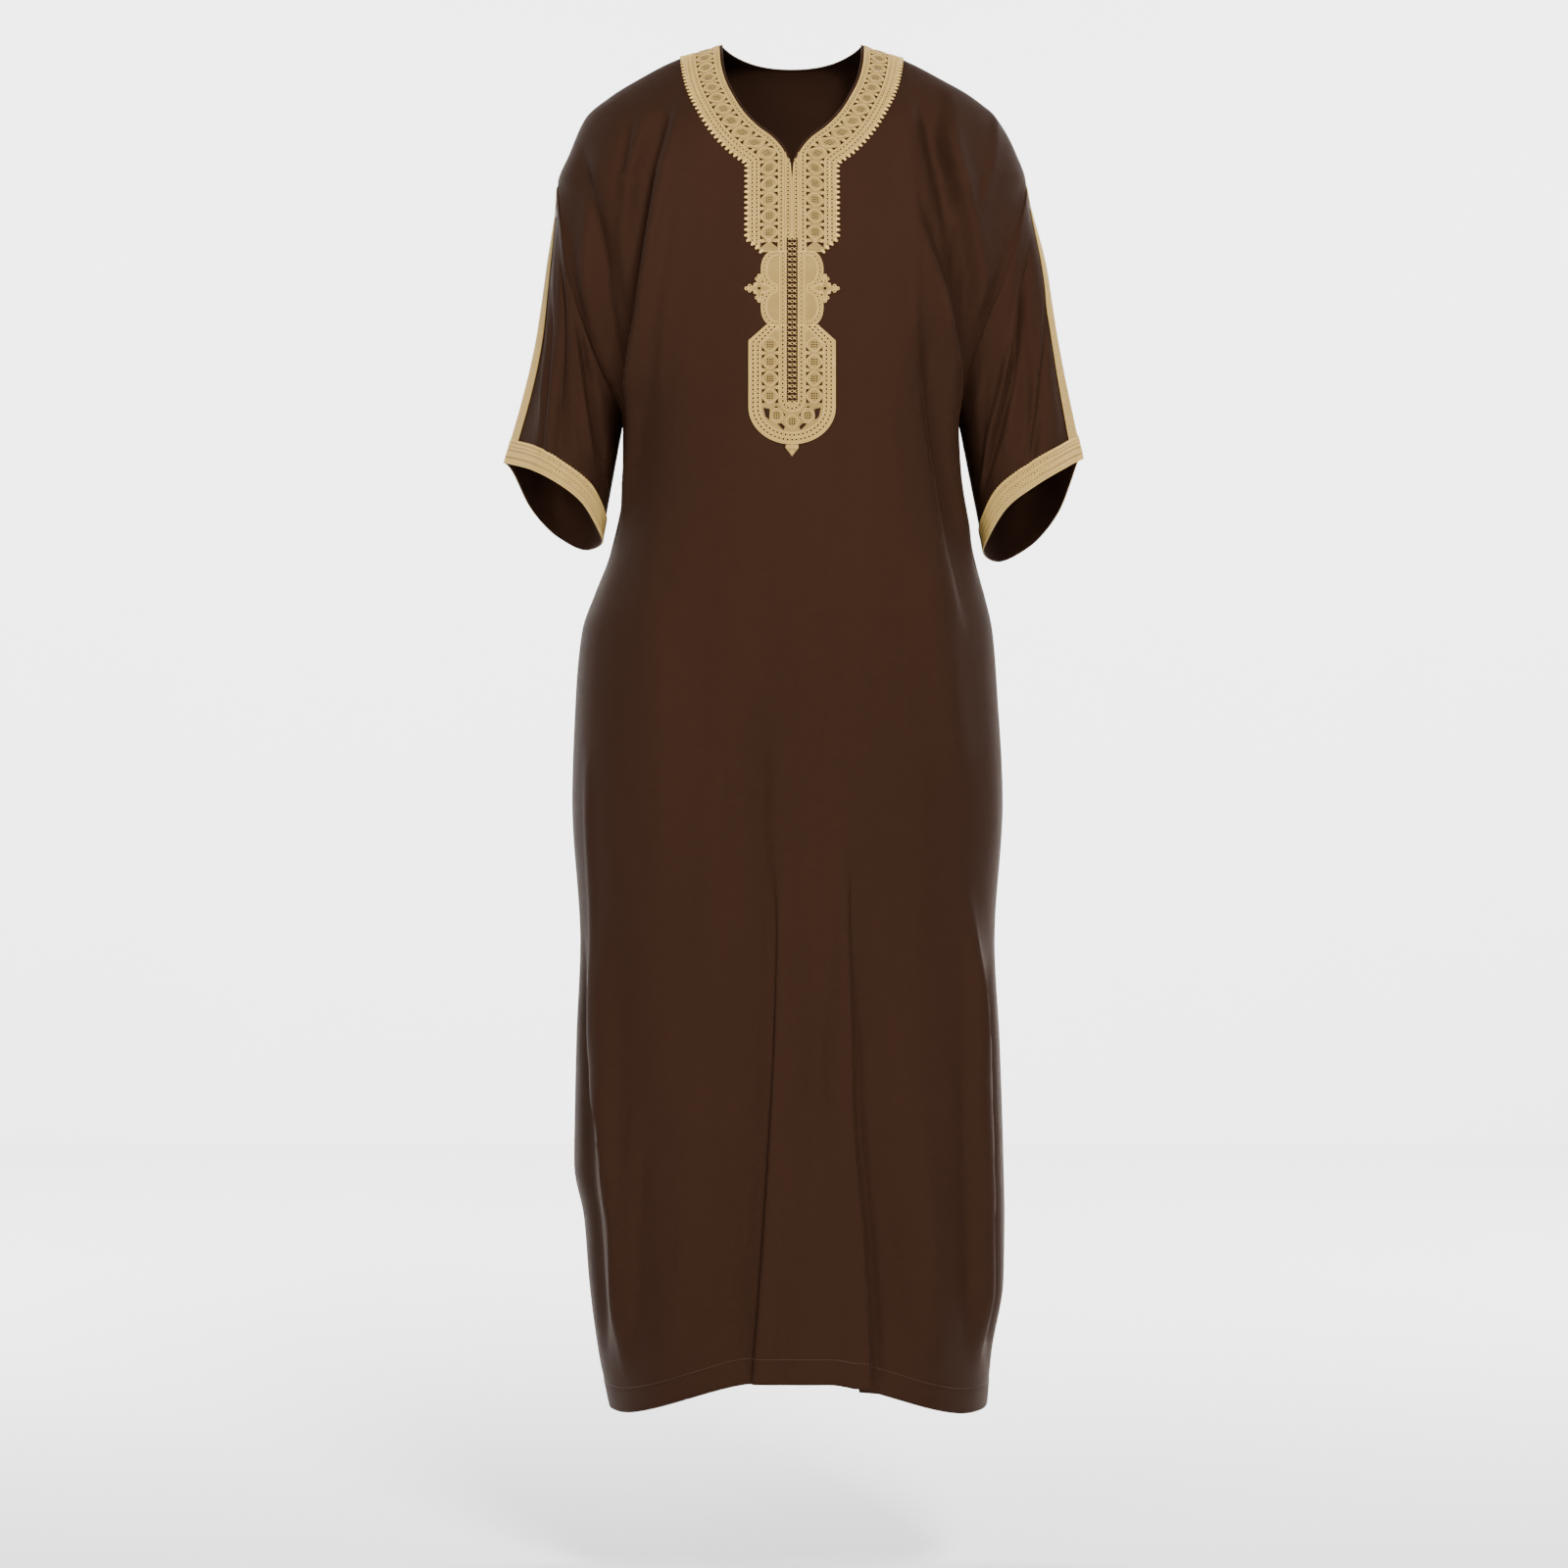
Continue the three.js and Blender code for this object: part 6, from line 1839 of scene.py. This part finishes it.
def make_cartouche():
    """The shield-like end of the embroidery, with its tip."""
    inner = LATTICE_HALF + 0.0003
    slot_end = LATTICE_END + 0.0003
    outline = np.concatenate(
        [
            [(inner, CARTOUCHE_TOP)], cartouche_outline(), [(-inner, CARTOUCHE_TOP)],
            [(-inner, slot_end), (inner, slot_end)],
        ]
    )
    eyelet_lines = [cartouche_outline(0.0045), cartouche_outline(0.0092)]
    eyelet_lines.append(strip_turn(STRIP_EYELETS, CARTOUCHE_TOP))
    eyelets = np.concatenate([along_line(lay_front, line, EYELET_PITCH) for line in eyelet_lines])
    holes, outlines, rings = [], [], []
    for side in (LEFT, RIGHT):
        rings.append((side * 0.0145, 0.3058))
        for n, drop in enumerate(CARTOUCHE_ROSETTES):
            x = side * CARTOUCHE_COLUMN
            blocked = () if n else ((-1, side),)
            corners = rosette_corners(drop, x, CARTOUCHE_STEP, reach=0.0080, without=blocked)
            holes += [hole[:, ::-1] for hole in rosette_dots(drop, x) + corners]
            outlines.append(rosette_outline(drop, x)[:, ::-1])
            if n:
                rings += [(x + k * RING_OFF, drop - CARTOUCHE_STEP) for k in (-1, 1)]
    for opening in CARTOUCHE_OPENINGS:
        for side in (LEFT, RIGHT):
            holes.append(np.array(opening) * (side, 1))
    for x, drop in CARTOUCHE_FOOT:
        holes += rosette_dots(x, drop)
        outlines.append(rosette_outline(x, drop) * (0.92, 0.9) + (x * 0.08, drop * 0.1))
    holes += [circle(e, EYELET_HOLE) for e in eyelets]
    plate = worked_plate("cartouche_ground", outline, holes, lay_front)
    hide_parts("placket_cartouche")
    dress(plate, GROUND_LOOK)
    tip = np.array(
        [(-0.0062, 0.4202), (0.0062, 0.4202), (0.0060, 0.4240), (0.0, CARTOUCHE_TIP), (-0.0060, 0.4240)]
    )
    tip_plate = worked_plate("cartouche_tip", tip, [], lay_front, spacing=0.0016)
    dress(tip_plate, GROUND_LOOK)
    lines = [cartouche_outline(inset) for inset in (0.0006, 0.0022, 0.0068, 0.0116)]
    lines += [strip_turn(x, CARTOUCHE_TOP) for x in STRIP_CORDS]
    knobs = np.array([(-0.0045, 0.4225), (0.0045, 0.4225), (0.0, 0.4225), (0.0, 0.4275)])
    return dict(
        eyelets=[lay_front(eyelets, THREAD_LIFT)],
        rings=[lay_front(np.array(rings + knobs.tolist()), THREAD_LIFT)],
        cords=[laid_path(lay_front, line) for line in lines],
        rosettes=[laid_path(lay_front, line, THREAD_LIFT + 0.0001) for line in outlines],
    )


def make_lattice():
    """Crossing threads over the cloth down the middle of the embroidery."""
    half = LATTICE_HALF - 0.0004
    top, end = LATTICE_TOP + 0.001, LATTICE_END
    middle = [laid_path(lay_front, [(x, top), (x, end)], 0.0008) for x in (-half / 2, half / 2)]
    lean = thread_rows("lattice_lean", middle, THREAD_LOOK, *LATTICE_LEAN, slant=52)
    back = thread_rows("lattice_back", middle, THREAD_LOOK, *LATTICE_BACK, slant=-52)
    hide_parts("placket_lattice")
    dress_all([lean, back])


def make_back_neck():
    """The braid round the back of the neck."""
    band = BackBand(LAID_BACK)
    start, end = 0.0003, band.end - 0.0003
    outline = closer(np.array([(start, 0.0), (end, 0.0), (end, BAND), (start, BAND)]), 0.002)
    holes, outlines, rings = band_features(start, end)
    eyelets = np.concatenate(
        [
            along_line(band, long_line(d, start, end), EYELET_PITCH)
            for d in (*INNER_EYELETS, *OUTER_EYELETS)
        ]
    )
    holes += [circle(e, EYELET_HOLE) for e in eyelets]
    plate = worked_plate("neck_ground_back", outline, holes, band)
    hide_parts("neck_braid_back")
    dress(plate, GROUND_LOOK)
    cords = [long_line(d, start, end) for d in (*INNER_CORDS, *OUTER_CORDS)]
    return dict(
        eyelets=[band(eyelets, THREAD_LIFT)],
        rings=[band(np.array(rings), THREAD_LIFT)],
        cords=[laid_path(band, line) for line in cords],
        rosettes=[laid_path(band, line, THREAD_LIFT + 0.0001) for line in outlines],
        pegs=[laid_path(band, long_line(BAND + 0.001, start, end), 0.0009)],
    )


def dress_all(pieces):
    for piece in pieces:
        dress(piece, None)


def make_cuff(points, normals, name):
    """Three bands of openwork round a cuff: a ladder, a lattice and a second ladder."""
    rows = slice(SLEEVE_ROWS, SLEEVE_ROWS + CUFF_ROWS + 1)
    ring_points = np.concatenate([points[rows], points[rows, :1]], axis=1).transpose(1, 0, 2)
    ring_normals = np.concatenate([normals[rows], normals[rows, :1]], axis=1).transpose(1, 0, 2)
    lay = SleeveLaid(ring_points, ring_normals)
    end, width = lay.end, lay.width
    u = np.linspace(0, end, 200)

    def line(d):
        return np.stack([u, np.full(len(u), d)], axis=1)

    outline = np.array([(0.0, 0.0006), (end, 0.0006), (end, width - 0.0004), (0.0, width - 0.0004)])
    eyelets = np.concatenate(
        [along_line(lay, line(width * share), 0.0040) for share in (0.20, 0.52, 0.66)]
    )
    holes = [circle(e, SMALL_HOLE) for e in eyelets if 0.001 < e[0] < end - 0.001]
    plate = worked_plate("cuff_ground_" + name, outline, holes, lay)
    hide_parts("cuff_braid_" + name)
    dress(plate, GROUND_LOOK)
    cords = [laid_path(lay, line(width * share)) for share in (0.03, 0.08, 0.33, 0.38, 0.80, 0.97)]
    ladders = [laid_path(lay, line(width * share), THREAD_LIFT) for share in (0.205, 0.885)]
    lattice = [laid_path(lay, line(width * 0.59), THREAD_LIFT)]
    pegs = [laid_path(lay, line(0.0008), 0.0008)]
    dress_all([
        thread_rows("cuff_cords_" + name, cords, THREAD_LOOK, *CORD, slant=24),
        thread_rows("cuff_rungs_" + name, ladders, THREAD_LOOK, *CUFF_RUNG, slant=84),
        thread_rows("cuff_lean_" + name, lattice, THREAD_LOOK, *CUFF_LEAN, slant=50),
        thread_rows("cuff_back_" + name, lattice, THREAD_LOOK, *CUFF_BACK, slant=-50),
        thread_rows("cuff_pegs_" + name, pegs, THREAD_LOOK, *CUFF_PEG, slant=90),
    ])


def make_stripe(points, normals, name):
    """The braid down the outside of a sleeve."""
    width = 2 * STRIPE_HALF
    rows = slice(0, SLEEVE_ROWS + 1)
    columns = 2 * ARMHOLE_ROWS
    near = 5
    picked = np.arange(-near, near + 1) % columns
    wide_points = points[rows][:, picked]
    wide_normals = normals[rows][:, picked]
    grid_points, grid_outs = [], []
    for row_points, row_normals in zip(wide_points, wide_normals):
        lengths = line_lengths(*row_points.T)
        steps = lengths[near] + np.linspace(-STRIPE_HALF, STRIPE_HALF, 9)
        for grid, row in ((grid_points, row_points), (grid_outs, row_normals)):
            grid.append(resample(row, lengths, steps))
    lay = SleeveLaid(np.array(grid_points), np.array(grid_outs))
    end = lay.end - 0.0006
    start = 0.0012
    outline = np.array([(start, 0.0004), (end, 0.0004), (end, width - 0.0004), (start, width - 0.0004)])
    middle = np.stack([np.linspace(start, end, 200), np.full(200, width / 2)], axis=1)
    eyelets = np.concatenate(
        [along_line(lay, middle + (0, shift), 0.0046) for shift in (-0.0028, 0.0028)]
    )
    plate = worked_plate(
        "stripe_ground_" + name, outline, [circle(e, 0.0006, 6) for e in eyelets], lay
    )
    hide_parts("sleeve_braid_" + name)
    dress(plate, GROUND_LOOK)
    edges = [laid_path(lay, middle + (0, shift)) for shift in (-0.0066, 0.0066)]
    inner = [laid_path(lay, middle + (0, shift)) for shift in (-0.0046, 0.0, 0.0046)]
    zigzag = [laid_path(lay, middle + (0, shift), THREAD_LIFT) for shift in (-0.0024, 0.0024)]
    dress_all([
        thread_rows("stripe_edges_" + name, edges, THREAD_LOOK, *STRIPE_EDGE, slant=70),
        thread_rows("stripe_cords_" + name, inner, THREAD_LOOK, *STRIPE_CORD, slant=24),
        thread_rows("stripe_zigzag_" + name, zigzag, THREAD_LOOK, *STRIPE_ZIGZAG, slant=48),
    ])


def gather(key, parts):
    """Everything of one kind from all parts of the embroidery."""
    found = []
    for part in parts:
        found += part.get(key, [])
        if "strip" in part:
            found += part["strip"].get(key, [])
    return found


def make_embroidery():
    parts = [make_neck_side(LEFT, "left"), make_neck_side(RIGHT, "right")]
    parts += [make_scallops(LEFT, "left"), make_scallops(RIGHT, "right")]
    parts += [make_cartouche(), make_back_neck()]
    pegs = gather("pegs", parts)
    dress_all([
        thread_rings("eyelet_rings", gather("eyelets", parts), THREAD_LOOK, *EYELET_RING),
        thread_rings("small_rings", gather("rings", parts), THREAD_LOOK, *SMALL_RING),
        thread_rows("braid_cords", gather("cords", parts), THREAD_LOOK, *CORD, slant=24),
        thread_rows("rosette_edges", gather("rosettes", parts), THREAD_LOOK, *ROSETTE_CORD, slant=32),
        thread_rows("braid_pegs", pegs, THREAD_LOOK, *PEG, slant=90, segments=8, rings=6),
    ])
    make_lattice()


make_embroidery()
for points, normals, name in (
    (left_points, left_normals, "left"),
    (right_points, right_normals, "right"),
):
    make_cuff(points, normals, name)
    make_stripe(points, normals, name)


# Sewing
def hem_path(panel):
    """A line along the top of the turned-up hem."""
    reach = 0.985
    left = -float(girth(panel, LEFT, 1.35)) * reach
    right = float(girth(panel, RIGHT, 1.35)) * reach
    x = np.linspace(left, right, 420)
    drop = hem_drop(panel, x) - HEM_TURN
    points = panel_point(panel, drop, x)
    nudge = panel_point(panel, drop, x, lift=0.001)
    return points + (nudge - points) * 0.1, unit(nudge - points)


def neck_edge(panel):
    """The neckline as seen, from shoulder to shoulder or to the slit."""
    laid = LAID_FRONT if panel is FRONT else LAID_BACK
    if panel is BACK:
        x = NECK_HALF * np.sin(np.linspace(-math.pi / 2, math.pi / 2, 160))
        drop = BACK_NECK * (1 - np.abs(x / NECK_HALF) ** 2.2)
        return [laid(np.stack([x, drop], axis=1), ROLL_LIFT)]
    x = lerp(SLIT_HALF, NECK_HALF, np.sin(np.linspace(0, math.pi / 2, 120)))
    return [laid(np.stack([side * x, NECK_DROP(x)], axis=1), ROLL_LIFT) for side in (LEFT, RIGHT)]


def make_sewing():
    """Hem stitches, and the rolled edge of the neckline."""
    hems = [hem_path(FRONT), hem_path(BACK)]
    stitches = thread_rows("hem_stitches", hems, SEWING_LOOK, *HEM_STITCH)
    dress(stitches, None)
    verts, edges = joined(neck_edge(FRONT) + neck_edge(BACK))
    binding = grown("neck_binding", CLOTH_ROLL, verts, edges, {}, CLOTH_LOOK, Radius=ROLL_RADIUS)
    dress(binding, None)


make_sewing()


# Studio
def make_studio():
    floor_mesh = bpy.data.meshes.new("floor")
    floor_mesh.from_pydata(
        [
            (-FLOOR_HALF, -7, FLOOR_LEVEL), (FLOOR_HALF, -7, FLOOR_LEVEL), (FLOOR_HALF, 5, FLOOR_LEVEL),
            (-FLOOR_HALF, 5, FLOOR_LEVEL), (FLOOR_HALF, 5, 6), (-FLOOR_HALF, 5, 6),
        ],
        [], [(0, 1, 2, 3), (3, 2, 4, 5)],
    )
    floor = bpy.data.objects.new("floor", floor_mesh)
    bpy.context.collection.objects.link(floor)
    floor_mesh.materials.append(studio_material("floor_paint", (0.96, 0.96, 0.96)))
    world = bpy.data.worlds.new("studio")
    world.use_nodes = True
    world.node_tree.nodes["Background"].inputs[0].default_value = (1, 1, 1, 1)
    world.node_tree.nodes["Background"].inputs[1].default_value = WORLD_LIGHT
    bpy.context.scene.world = world
    for name, place, target, power, size in LAMPS:
        lamp = bpy.data.lights.new(name, "AREA")
        lamp.energy = power
        lamp.size = size
        thing = bpy.data.objects.new(name, lamp)
        thing.location = place
        aim = np.subtract(target, place)
        thing.rotation_euler = (
            math.atan2(math.hypot(aim[0], aim[1]), -aim[2]), 0, math.atan2(aim[1], aim[0]) - math.pi / 2,
        )
        bpy.context.collection.objects.link(thing)


def make_camera():
    camera = bpy.data.cameras.new("camera")
    camera.lens = CAMERA_LENS
    camera.sensor_width = CAMERA_SENSOR
    thing = bpy.data.objects.new("camera", camera)
    thing.location = CAMERA_PLACE
    thing.rotation_euler = (math.pi / 2, 0, 0)
    bpy.context.collection.objects.link(thing)
    bpy.context.scene.camera = thing


make_studio()
make_camera()
